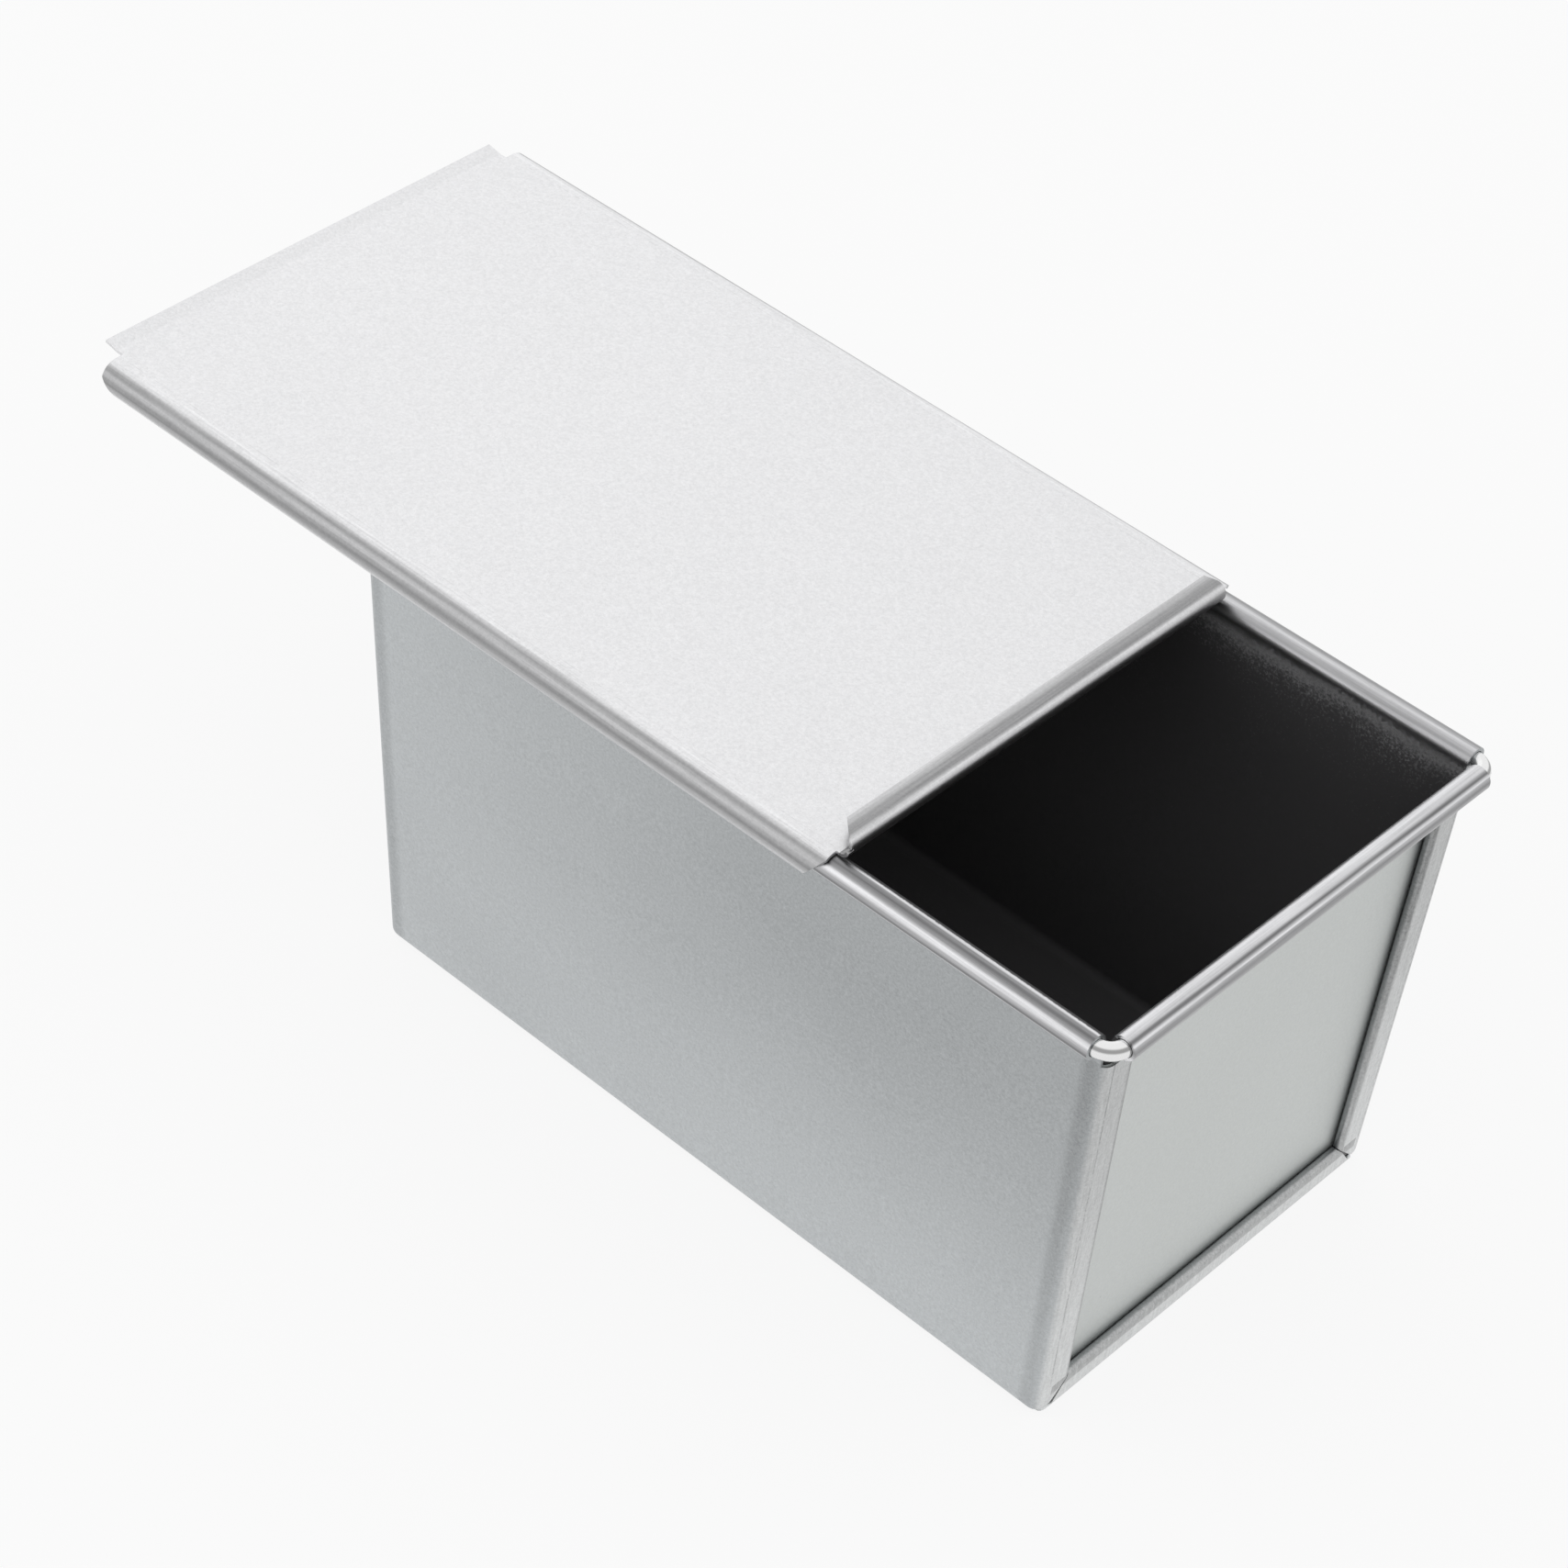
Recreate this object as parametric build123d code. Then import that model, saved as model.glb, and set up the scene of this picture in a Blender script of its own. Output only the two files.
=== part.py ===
from build123d import *
import math
import os

# Loaf pan with a sliding lid, folded from thin sheet. All lengths are in millimetres.
# X runs along the pan, Y across it and Z up. The origin is the middle of the underside.
# The lid is drawn part open, with its rolled end towards +X.

# Sheet, the same for every piece
sheet = 0.75            # thickness
fold_play = 0.05        # air between two layers that are folded together

# Rim: a wire ring with the walls curled round it
wire_radius = 1.9
wire_play = 0.1         # air between the wire and its curl
wire_corner_radius = 4.0
rim_half_length = 100.5     # all three to the wire's axis
rim_half_width = 57.0
rim_height = 110.5
curl_turn = 300.0       # degrees that a wall turns round the wire
curl_setback = 3.5      # each curl stops this far short of the wire's corner

# Body: outer faces at the underside, and the bends between them
floor_half_length = 93.6
floor_half_width = 52.2
seam_setback = 1.9      # end seams' face inside the wire's axis, at rim height
upright_bend_radius = 2.8
long_bend_radius = 2.8
end_bend_radius = 1.5

# Lock seams that frame three sides of each end
side_seam_width = 9.0
foot_seam_height = 7.3
seam_drop = 7.0         # the upright seams stop this far under the wire's axis
mitre_slit = 0.25       # slit between an upright seam and the foot seam

# End panels
lean_out_radius = 6.0   # gentle bend that takes the panel out to the wire
lean_out_rise = 1.2     # that bend's corner above the upright seams' tops

# Lid
lid_lift = 0.35         # air between the beads' tops and the flat of the lid
hook_radius = 4.1       # outer radius of the side hooks
hook_spread = 0.15      # hooks' axis outside the wire's axis
hook_turn = 190.0       # degrees that a hook turns from the flat
hook_near_end = 32.8    # hooks' ends at the top
hook_far_end = -171.7
hook_slant = 38.0       # degrees off upright that the hooks' lower corners are cut back
far_square_height = 2.1     # the far corners stay square this far below the flat

# Finger roll on the lid's near end
roll_foot_radius = 1.9
roll_rise = 0.3
roll_top_radius = 2.2
roll_top_turn = 102.0   # degrees
roll_tail = 3.3
roll_foot_run = 1.0     # flat between the hooks' ends and the roll's first bend
roll_left_reach = 56.6
roll_right_reach = 54.5

# Strip on the lid's far end
strip_half_width = 55.2
strip_flat = 1.6
strip_turn = 12.0       # degrees
strip_bend_radius = 3.0
strip_run = 3.3

overrun = 20.0          # how far every cutter reaches past what it cuts

# Worked out from the sizes above
curl_radius = wire_radius + wire_play
bead_radius = curl_radius + sheet
seam_top = rim_height - seam_drop
long_curl_half_length = rim_half_length - curl_setback
end_curl_half_width = rim_half_width - curl_setback


def lean_to_wire(from_side, from_height, to_side, to_height, reach):
    """Angle off upright of a face that ends tangent to a circle round the wire."""
    run = to_side - from_side
    rise = to_height - from_height
    return math.atan2(run, rise) - math.asin(reach / math.hypot(run, rise))


wall_lean = lean_to_wire(floor_half_width, 0, rim_half_width, rim_height, curl_radius)
end_slope = (rim_half_length - seam_setback - floor_half_length) / rim_height
end_lean = math.atan(end_slope)
wall_slope = math.tan(wall_lean)

# Thickness seen in a level cut, and the sheet that gives it on the leaning ends
level_sheet = sheet / math.cos(wall_lean)
end_sheet = level_sheet * math.cos(end_lean)
layer = level_sheet + fold_play
hem_radius = layer + level_sheet / 2
panel_depth = 3 * layer
side_fold_setback = max(upright_bend_radius, layer + hem_radius)
foot_fold_height = max(end_bend_radius, layer + hem_radius)


def wall_side(height):
    """Outer face of a long wall at a height."""
    return floor_half_width + height * wall_slope


def seam_face(height):
    """Outer face of an end seam at a height."""
    return floor_half_length + height * end_slope


end_reach = seam_face(rim_height) + overrun
side_reach = wall_side(rim_height) + overrun


def mirrored(pieces, plane):
    """The pieces and their mirror images."""
    return pieces + [piece.mirror(plane) for piece in pieces]


def aim(degrees):
    """Unit vector in a section's own plane."""
    return Vector(math.cos(math.radians(degrees)), math.sin(math.radians(degrees)))


def bent_section(start, heading, steps, thickness):
    """Outline of a bent sheet as a face in the XY plane.

    The first face of the sheet leaves start along heading. Each step is a straight run, then a
    turn in degrees (left is positive) on a radius measured on that face. The second face lies
    to the right by the thickness.
    """
    first = []
    second = []
    spot = Vector(*start)
    across = aim(heading - 90) * thickness
    start_cap = Line(spot, spot + across)
    for run, turn, radius in steps:
        across = aim(heading - 90) * thickness
        if run > 0:
            ahead = spot + aim(heading) * run
            first.append(Line(spot, ahead))
            second.append(Line(spot + across, ahead + across))
            spot = ahead
        if turn != 0:
            hand = math.copysign(1, turn)
            centre = spot + aim(heading + 90 * hand) * radius
            for edges, reach in ((first, radius), (second, radius + hand * thickness)):
                on_arc = [centre - aim(heading + 90 * hand + turn * share) * reach for share in (0, 0.5, 1)]
                edges.append(ThreePointArc(*on_arc))
            heading += turn
            spot = centre - aim(heading + 90 * hand) * radius
    end_cap = Line(spot, spot + aim(heading - 90) * thickness)
    return Face(Wire([start_cap, *first, end_cap, *second]))


def across_plane(at):
    """Plane for a section across the pan: its X is the pan's Y."""
    return Plane(origin=(at, 0, 0), x_dir=(0, 1, 0), z_dir=(1, 0, 0))


def along_plane(at):
    """Plane for a section along the pan, extruded towards -Y."""
    return Plane(origin=(0, at, 0), x_dir=(1, 0, 0), z_dir=(0, -1, 0))


def run_along(section, near, far):
    """Extrude a section across the pan from X = far to X = near."""
    return Solid.extrude(across_plane(far) * section, Vector(near - far, 0, 0))


def run_across(section, right, left):
    """Extrude a section along the pan from Y = right down to Y = left."""
    return Solid.extrude(along_plane(right) * section, Vector(0, left - right, 0))


def run_up(section, foot, top):
    """Extrude a section drawn at the underside's level up the +X +Y corner, leaning with it."""
    lean = Vector(end_slope, wall_slope, 1)
    return Solid.extrude(Pos(lean * foot) * section, lean * (top - foot))


def outline(*points):
    """Closed polygon as a face in the XY plane."""
    return Face(Wire(Polyline(*points, close=True).edges()))


def round_low_corners(face, radius):
    """Round the two lowest corners of a section."""
    low = face.vertices().sort_by(Axis.Y)[:2]
    return face.fillet_2d(radius, low)


def trapezoid(half_size, inset, floor, top):
    """Section of the pan whose half size grows with height, drawn in by an inset."""
    right = [(half_size(floor) - inset, floor), (half_size(top) - inset, top)]
    left = [(-side, height) for side, height in reversed(right)]
    return outline(*right, *left)


def upright_corner_cutter(inset, top):
    """What rounding takes off the +X +Y upright corner."""
    radius = upright_bend_radius - inset
    inner = Vector(floor_half_length - inset - radius, floor_half_width - inset - radius)
    on_arc = [inner + aim(angle) * radius for angle in (90, 45, 0)]
    outer = [on_arc[2] + aim(0) * overrun, inner + Vector(radius + overrun, radius + overrun)]
    outer.append(on_arc[0] + aim(90) * overrun)
    edges = [ThreePointArc(*on_arc), *Polyline(on_arc[2], *outer, on_arc[0]).edges()]
    return run_up(Face(Wire(edges)), -overrun, top + overrun)


def rounded_block(inset, floor, top):
    """The pan's rounded outer form, or its hollow where the inset is the sheet."""
    across = round_low_corners(trapezoid(wall_side, inset, floor, top), long_bend_radius - inset)
    along = round_low_corners(trapezoid(seam_face, inset, floor, top), end_bend_radius - inset)
    block = run_along(across, end_reach, -end_reach) & run_across(along, side_reach, -side_reach)
    corner = upright_corner_cutter(inset, top)
    for cutter in mirrored(mirrored([corner], Plane.XZ), Plane.YZ):
        block -= cutter
    return block


def hem_side(height):
    """Axis of an upright seam's rounded inner edge, measured across the pan."""
    return wall_side(height) - side_seam_width + hem_radius


def fold_side(height):
    """Axis of the end panel's upright folds, measured across the pan."""
    return wall_side(height) - side_fold_setback


hem_height = foot_seam_height - hem_radius
foot_lap = (hem_height - foot_fold_height) / math.cos(end_lean)
side_lap = fold_side(0) - hem_side(0)
end_hem_radius = hem_radius * math.cos(end_lean)
upwards_on_end = 90 - math.degrees(end_lean)
mitre_sum = wall_side(foot_seam_height) - side_seam_width + foot_seam_height
mitre_shift = mitre_slit / math.sqrt(2)


def upright_side_of_mitre():
    """Everything above the 45 degree slit of the +Y corners."""
    limit = mitre_sum + mitre_shift
    section = outline(
        (limit + overrun, -overrun),
        (limit + overrun, rim_height),
        (limit - rim_height, rim_height),
    )
    return run_along(section, end_reach, 0)


def foot_side_of_mitre():
    """Everything below the 45 degree slits of both corners."""
    limit = mitre_sum - mitre_shift
    section = outline((-limit - overrun, -overrun), (limit + overrun, -overrun), (0, limit))
    return run_along(section, end_reach, 0)


def mitre_slot():
    """The slit itself at the +X +Y corner, through the outermost layer."""
    section = outline(
        (mitre_sum - mitre_shift + overrun, -overrun),
        (mitre_sum + mitre_shift + overrun, -overrun),
        (mitre_sum + mitre_shift - foot_seam_height, foot_seam_height),
        (mitre_sum - mitre_shift - foot_seam_height, foot_seam_height),
    )
    return run_along(section, end_reach, floor_half_length - end_bend_radius)


def end_window():
    """Opening inside the seam frame, through both ends."""
    section = outline(
        (-hem_side(hem_height), hem_height),
        (hem_side(hem_height), hem_height),
        (hem_side(rim_height), rim_height),
        (-hem_side(rim_height), rim_height),
    )
    return run_along(section, end_reach, -end_reach)


def tray():
    """Floor, long walls and bent-up edges, as high as the seams, open inside the seam frames."""
    hollow = rounded_block(level_sheet, sheet, rim_height)
    shell = rounded_block(0, 0, seam_top) - hollow - end_window()
    for slot in mirrored(mirrored([mitre_slot()], Plane.XZ), Plane.YZ):
        shell -= slot
    return shell


def upright_seam():
    """Outer layer, rounded edge and tucked-in layer of the +X +Y upright seam."""
    steps = [(side_lap, -180, hem_radius), (side_lap, 0, 0)]
    section = bent_section((floor_half_length, fold_side(0)), -90, steps, level_sheet)
    return run_up(section, 0, seam_top) & upright_side_of_mitre()


def foot_seam():
    """The same for the seam along the foot of the +X end."""
    start = (seam_face(foot_fold_height), foot_fold_height)
    steps = [(foot_lap, 180, end_hem_radius), (foot_lap, 0, 0)]
    section = bent_section(start, upwards_on_end, steps, -end_sheet)
    return run_across(section, side_reach, -side_reach) & foot_side_of_mitre()


def long_rim_curl():
    """Top of the +Y long wall, curled outwards round the wire."""
    foot = (wall_side(seam_top - overrun) - level_sheet, seam_top - overrun)
    run = math.hypot(rim_half_width - foot[0], rim_height - foot[1])
    steps = [(math.sqrt(run**2 - bead_radius**2), -curl_turn, bead_radius)]
    section = bent_section(foot, 90 - math.degrees(wall_lean), steps, sheet)
    above = outline((0, seam_top), (side_reach, seam_top), (side_reach, rim_height + overrun))
    strip = run_along(section, long_curl_half_length, -long_curl_half_length)
    return strip & run_along(above, end_reach, -end_reach)


def body_sheet():
    """The wrapper: floor, long walls, rim curls and the outer layers of both ends' seams."""
    seams = mirrored([upright_seam()], Plane.XZ) + [foot_seam()]
    curls = mirrored([long_rim_curl()], Plane.XZ)
    return tray().fuse(*mirrored(seams, Plane.YZ), *curls).clean()


def end_panel_plate():
    """The +X end panel from its foot fold up to its curl, wider than the pan."""
    depth = panel_depth + level_sheet
    reach = curl_radius + end_sheet
    height = seam_top + lean_out_rise
    corner = (seam_face(height) - depth, height)
    lean_out = lean_to_wire(*corner, rim_half_length, rim_height, reach)
    bend = lean_out - end_lean
    tangent = lean_out_radius * math.tan(bend / 2)
    to_wire = math.hypot(rim_half_length - corner[0], rim_height - height)
    steps = [
        ((height - foot_fold_height) / math.cos(end_lean) - tangent, -math.degrees(bend), lean_out_radius),
        (math.sqrt(to_wire**2 - reach**2) - tangent, -curl_turn, reach),
    ]
    start = (seam_face(foot_fold_height) - depth, foot_fold_height)
    section = bent_section(start, upwards_on_end, steps, end_sheet)
    return run_across(section, side_reach, -side_reach)


def panel_outline():
    """Width of an end panel: between its upright folds, then as wide as its curl."""
    right = [
        (fold_side(0), 0),
        (fold_side(seam_top), seam_top),
        (end_curl_half_width, seam_top),
        (end_curl_half_width, rim_height + overrun),
    ]
    left = [(-side, height) for side, height in reversed(right)]
    return run_along(outline(*right, *left), end_reach, 0)


def panel_foot_fold():
    """Foot of the +X end panel, folded outwards and up inside the foot seam."""
    start = (seam_face(hem_height) - layer, hem_height)
    steps = [(foot_lap, -180, end_hem_radius), (sheet, 0, 0)]
    section = bent_section(start, upwards_on_end - 180, steps, end_sheet)
    return run_across(section, side_reach, -side_reach) & foot_side_of_mitre()


def panel_side_fold():
    """Side of the +X end panel, folded outwards and back inside the +Y upright seam."""
    start = (floor_half_length - layer, hem_side(0))
    steps = [(side_lap, 180, hem_radius), (sheet, 0, 0)]
    section = bent_section(start, 90, steps, -level_sheet)
    return run_up(section, long_bend_radius, seam_top) & upright_side_of_mitre()


def end_panel():
    """The +X end wall with its three folded edges and its curl."""
    plate = end_panel_plate().fuse(panel_foot_fold()) & panel_outline()
    return plate.fuse(*mirrored([panel_side_fold()], Plane.XZ)).clean()


def rim_wire():
    """The closed wire ring inside the curls."""
    ring = RectangleRounded(2 * rim_half_length, 2 * rim_half_width, wire_corner_radius)
    path = Pos(0, 0, rim_height) * ring.face().outer_wire()
    section = Plane(origin=path @ 0, z_dir=path % 0) * Circle(wire_radius)
    return sweep(section, path=path)


# Lid, worked out from the rim
lid_under = rim_height + bead_radius + lid_lift
lid_top = lid_under + sheet
hook_side = rim_half_width + hook_spread
lid_reach = hook_side + hook_radius + overrun


def lid_hooked_sheet():
    """Flat of the lid with the hook along its +Y side, as a half to be mirrored."""
    steps = [(hook_side, -hook_turn, hook_radius)]
    section = bent_section((0, lid_top), 0, steps, sheet)
    half = run_along(section, hook_near_end, hook_far_end)
    return half.fuse(half.mirror(Plane.XZ))


def slant_cutter(end, outwards, start):
    """Wedge that cuts back the lower corners of both hooks at one end, below a height."""
    foot = start - overrun
    beyond = end + outwards * overrun
    cut_back = end - outwards * overrun * math.tan(math.radians(hook_slant))
    section = outline((end, start), (cut_back, foot), (beyond, foot), (beyond, start))
    return run_across(section, lid_reach, -lid_reach)


def finger_roll():
    """Open roll along the near end, turned up over the lid, its left top corner cut at 45 degrees."""
    steps = [
        (roll_foot_run, 90, roll_foot_radius),
        (roll_rise, roll_top_turn, roll_top_radius),
        (roll_tail, 0, 0),
    ]
    section = bent_section((hook_near_end, lid_under), 0, steps, -sheet)
    roll = run_across(section, roll_right_reach, -roll_left_reach)
    front = hook_near_end + roll_foot_run + roll_foot_radius
    corner = outline(
        (front, -roll_left_reach),
        (front - overrun, overrun - roll_left_reach),
        (front - overrun, -overrun - roll_left_reach),
    )
    top_of_foot = lid_under + roll_foot_radius + roll_rise
    return roll - Solid.extrude(Pos(0, 0, top_of_foot) * corner, Vector(0, 0, overrun))


def far_strip():
    """Narrower strip along the far end, turned up a little."""
    steps = [(strip_flat, -strip_turn, strip_bend_radius), (strip_run, 0, 0)]
    section = bent_section((hook_far_end, lid_top), 180, steps, -sheet)
    return run_across(section, strip_half_width, -strip_half_width)


def sliding_lid():
    """The lid in its photographed place."""
    hooked = lid_hooked_sheet()
    hooked -= slant_cutter(hook_near_end, 1, lid_under)
    hooked -= slant_cutter(hook_far_end, -1, lid_under - far_square_height)
    return hooked.fuse(finger_roll(), far_strip()).clean()


if __name__ == "__main__":
    os.makedirs("parts", exist_ok=True)
    near_panel = end_panel()
    pieces = {
        "body_sheet": body_sheet(),
        "near_end_panel": near_panel,
        "far_end_panel": near_panel.mirror(Plane.YZ),
        "rim_wire": rim_wire(),
        "sliding_lid": sliding_lid(),
    }
    for name, piece in pieces.items():
        piece.label = name
        export_step(piece, f"parts/{name}.step")
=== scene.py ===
"""Looks of a folded sheet-metal loaf pan with a sliding lid.

Lengths are in metres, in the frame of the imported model: X runs along the pan, Y across it and
Z up, with the origin in the middle of the underside.
"""

import logging
import math
from collections.abc import Callable, Iterable
from dataclasses import dataclass, field
from enum import Enum

import bmesh
import bpy
from bmesh.types import BMEdge, BMFace, BMVert
from mathutils import Matrix, Vector


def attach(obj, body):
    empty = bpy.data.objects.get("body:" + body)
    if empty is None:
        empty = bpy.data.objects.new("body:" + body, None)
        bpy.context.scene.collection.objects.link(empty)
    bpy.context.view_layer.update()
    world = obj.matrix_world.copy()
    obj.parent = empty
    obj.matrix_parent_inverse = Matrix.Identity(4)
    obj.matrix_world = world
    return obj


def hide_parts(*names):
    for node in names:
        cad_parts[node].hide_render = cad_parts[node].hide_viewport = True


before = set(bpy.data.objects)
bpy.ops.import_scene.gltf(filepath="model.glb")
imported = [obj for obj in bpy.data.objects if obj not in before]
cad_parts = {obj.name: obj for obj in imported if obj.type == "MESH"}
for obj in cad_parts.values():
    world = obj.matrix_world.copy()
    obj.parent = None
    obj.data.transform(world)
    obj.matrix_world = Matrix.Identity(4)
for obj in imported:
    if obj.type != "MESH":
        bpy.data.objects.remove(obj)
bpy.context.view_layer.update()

log = logging.getLogger("loaf_pan")
MM = 0.001
CLOSE = 0.01 * MM
ON_PLANE = 0.004 * MM
KNIFE_SLACK = CLOSE / 10
Tone = tuple[float, float, float, float]
Span = tuple[float, float]
Scale = tuple[float, float, float]
Stops = tuple[Span, ...]
WHITE: Tone = (1.0, 1.0, 1.0, 1.0)
# Plain tones for the painted reflection stripes, with some wear, that run along a fold.
BRIGHT, PALE, MIDDLE, DARK, DEEP = 1.0, 0.85, 0.6, 0.4, 0.25
# The turn round a fold is counted from here, once round.
LOWEST_TURN = -90.0
FULL_TURN = 360.0
NOISE_MEAN = 0.5
# How a texture is squeezed, so that its marks run along an axis.
ALONG_X: Scale = (0.02, 1.0, 1.0)
ALONG_Y: Scale = (1.0, 0.02, 1.0)
ALONG_Z: Scale = (1.0, 1.0, 0.05)
# Rows of faces in each seam's folded edge and in each rim curl.
HEM_STEPS = 8
CURL_STEPS = 30
LAMP_TARGET = Vector((0, 0, 50 * MM))
# How a sheet's cut edges are rounded.
EDGE_ROUND = 0.12 * MM
EDGE_STEPS = 2
SHARP_TURN = math.radians(50.0)


class Body(Enum):
    """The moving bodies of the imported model."""

    PAN = "pan"
    LID = "lid"


class Slot(Enum):
    """The record's material slots."""

    PAN_SHEET = "pan_sheet"
    END_SHEET = "end_sheet"
    RIM_WIRE = "rim_wire"
    LID_SHEET = "lid_sheet"


class Run(Enum):
    """Which way a bead runs."""

    ALONG = "along"
    ACROSS = "across"


@dataclass(frozen=True)
class PanSizes:
    """The sizes of the real pan that its pieces and their finishes share."""

    sheet: float = 0.75 * MM
    layer: float = 0.80 * MM
    wire_radius: float = 1.9 * MM
    curl_radius: float = 2.0 * MM
    bead_radius: float = 2.74 * MM
    curl_turn: float = 300.0
    curl_setback: float = 3.5 * MM
    wire_corner_radius: float = 4.0 * MM
    rim_half_length: float = 100.5 * MM
    rim_half_width: float = 57.0 * MM
    rim_height: float = 110.5 * MM
    floor_half_length: float = 93.6 * MM
    floor_half_width: float = 52.2 * MM
    wall_slope: float = 0.02533
    end_slope: float = 0.04525
    corner_radius: float = 2.8 * MM
    foot_radius: float = 1.5 * MM
    hem_radius: float = 1.175 * MM
    side_seam_width: float = 9.0 * MM
    foot_seam_height: float = 7.3 * MM
    mitre_slit: float = 0.25 * MM
    seam_top: float = 103.5 * MM

    def wall_side(self, height: float) -> float:
        """Outer face of a long wall at a height."""
        return self.floor_half_width + height * self.wall_slope

    def seam_face(self, height: float) -> float:
        """Outer face of an end seam at a height."""
        return self.floor_half_length + height * self.end_slope

    def hem_side(self, height: float) -> float:
        """Axis of an upright seam's rounded inner edge at a height."""
        return self.wall_side(height) - self.side_seam_width + self.hem_radius

    @property
    def hem_height(self) -> float:
        """Axis of the foot seam's rounded upper edge."""
        return self.foot_seam_height - self.hem_radius

    @property
    def upright(self) -> Vector:
        """Direction of the upright corner at +X +Y, one unit high."""
        return Vector((self.end_slope, self.wall_slope, 1.0))

    @property
    def mitre_sum(self) -> float:
        """Y plus Z along the 45 degree slit of the +Y corners."""
        return self.wall_side(self.foot_seam_height) - self.side_seam_width + self.foot_seam_height

    @property
    def fold_depth(self) -> float:
        """How far an end panel's coated face lies inside the seam's face."""
        return self.layer + 2 * self.hem_radius


PAN = PanSizes()


def near(value: float, target: float, slack: float = CLOSE) -> bool:
    """Whether a value is at a target."""
    return abs(value - target) < slack


class Workpiece:
    """A bmesh with the few moves that sheet and wire work need."""

    def __init__(self) -> None:
        """Start with nothing on the bench."""
        self.shape = bmesh.new()

    def edges(self, test: Callable[[Vector], bool]) -> list[BMEdge]:
        """Free edges whose two ends pass a test.

        Args:
            test: Says whether an end's place will do.

        Returns:
            The edges.
        """
        free = [edge for edge in self.shape.edges if edge.is_boundary]
        return [edge for edge in free if all(test(vert.co) for vert in edge.verts)]

    def faces(self, test: Callable[[Vector], bool]) -> list[BMFace]:
        """Faces whose middle passes a test.

        Args:
            test: Says whether a face's middle will do.

        Returns:
            The faces.
        """
        return [face for face in self.shape.faces if test(face.calc_center_median())]

    def pull(self, edges: Iterable[BMEdge], step: Vector) -> list[BMEdge]:
        """Draw new faces out of some edges, in a straight line.

        Args:
            edges: The edges.
            step: How far and which way.

        Returns:
            The edges at the end.
        """
        drawn = bmesh.ops.extrude_edge_only(self.shape, edges=list(edges))["geom"]
        verts = {item for item in drawn if isinstance(item, BMVert)}
        bmesh.ops.translate(self.shape, verts=list(verts), vec=step)
        rows = [item for item in drawn if isinstance(item, BMEdge)]
        return [edge for edge in rows if all(vert in verts for vert in edge.verts)]

    def curl(
        self, edges: Iterable[BMEdge], centre: Vector, axis: Vector, degrees: float, steps: int
    ) -> list[BMEdge]:
        """Draw new faces out of some edges, round an axis.

        Args:
            edges: The edges.
            centre: A point on the axis.
            axis: The axis' direction.
            degrees: How far they turn, by the right-hand rule.
            steps: How many faces the turn is made of.

        Returns:
            The edges at the end.
        """
        edges = list(edges)
        verts = list({vert for edge in edges for vert in edge.verts})
        spun = bmesh.ops.spin(
            self.shape,
            geom=edges + verts,
            cent=centre,
            axis=axis.normalized(),
            angle=math.radians(degrees),
            steps=steps,
            use_duplicate=False,
        )
        return [item for item in spun["geom_last"] if isinstance(item, BMEdge)]

    def part(self, faces: Iterable[BMFace], at: Vector, normal: Vector, drop: bool = False) -> None:
        """Cut some faces along a plane.

        Args:
            faces: The faces.
            at: A point on the plane.
            normal: The plane's normal.
            drop: Whether what lies on the normal's side goes.
        """
        faces = list(faces)
        edges = {edge for face in faces for edge in face.edges}
        verts = {vert for face in faces for vert in face.verts}
        bmesh.ops.bisect_plane(
            self.shape,
            geom=faces + list(edges) + list(verts),
            dist=KNIFE_SLACK,
            plane_co=at,
            plane_no=normal.normalized(),
            clear_outer=drop,
        )

    def remove(self, test: Callable[[Vector], bool]) -> None:
        """Delete the faces whose middle passes a test."""
        bmesh.ops.delete(self.shape, geom=self.faces(test), context="FACES")

    def mirror(self, axis: str) -> None:
        """Add the mirror image, welded at the middle.

        Args:
            axis: X or Y.
        """
        everything = self.shape.verts[:] + self.shape.edges[:] + self.shape.faces[:]
        bmesh.ops.mirror(self.shape, geom=everything, axis=axis, merge_dist=CLOSE)

    def weld(self) -> None:
        """Merge doubled vertices."""
        bmesh.ops.remove_doubles(self.shape, verts=self.shape.verts[:], dist=CLOSE)

    def face_out(self, test: Callable[[Vector], bool], outwards: Vector) -> None:
        """Turn all faces the same way round, judged by one of them.

        Args:
            test: Picks faces that are surely on the wanted side, by their middle.
            outwards: The way that those must face.
        """
        bmesh.ops.recalc_face_normals(self.shape, faces=self.shape.faces[:])
        sample = max(self.faces(test), key=lambda face: face.calc_area())
        if sample.normal.dot(outwards) < 0:
            bmesh.ops.reverse_faces(self.shape, faces=self.shape.faces[:])

    def finish(self, name: str, finishes: Iterable[bpy.types.Material]) -> bpy.types.Object:
        """Turn the work into an object at the origin.

        Args:
            name: The piece's name.
            finishes: Its materials in order.

        Returns:
            The object.
        """
        mesh = bpy.data.meshes.new(name)
        self.shape.to_mesh(mesh)
        self.shape.free()
        mesh.shade_smooth()
        for finish in finishes:
            mesh.materials.append(finish)
        piece = bpy.data.objects.new(name, mesh)
        bpy.context.scene.collection.objects.link(piece)
        return piece


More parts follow.
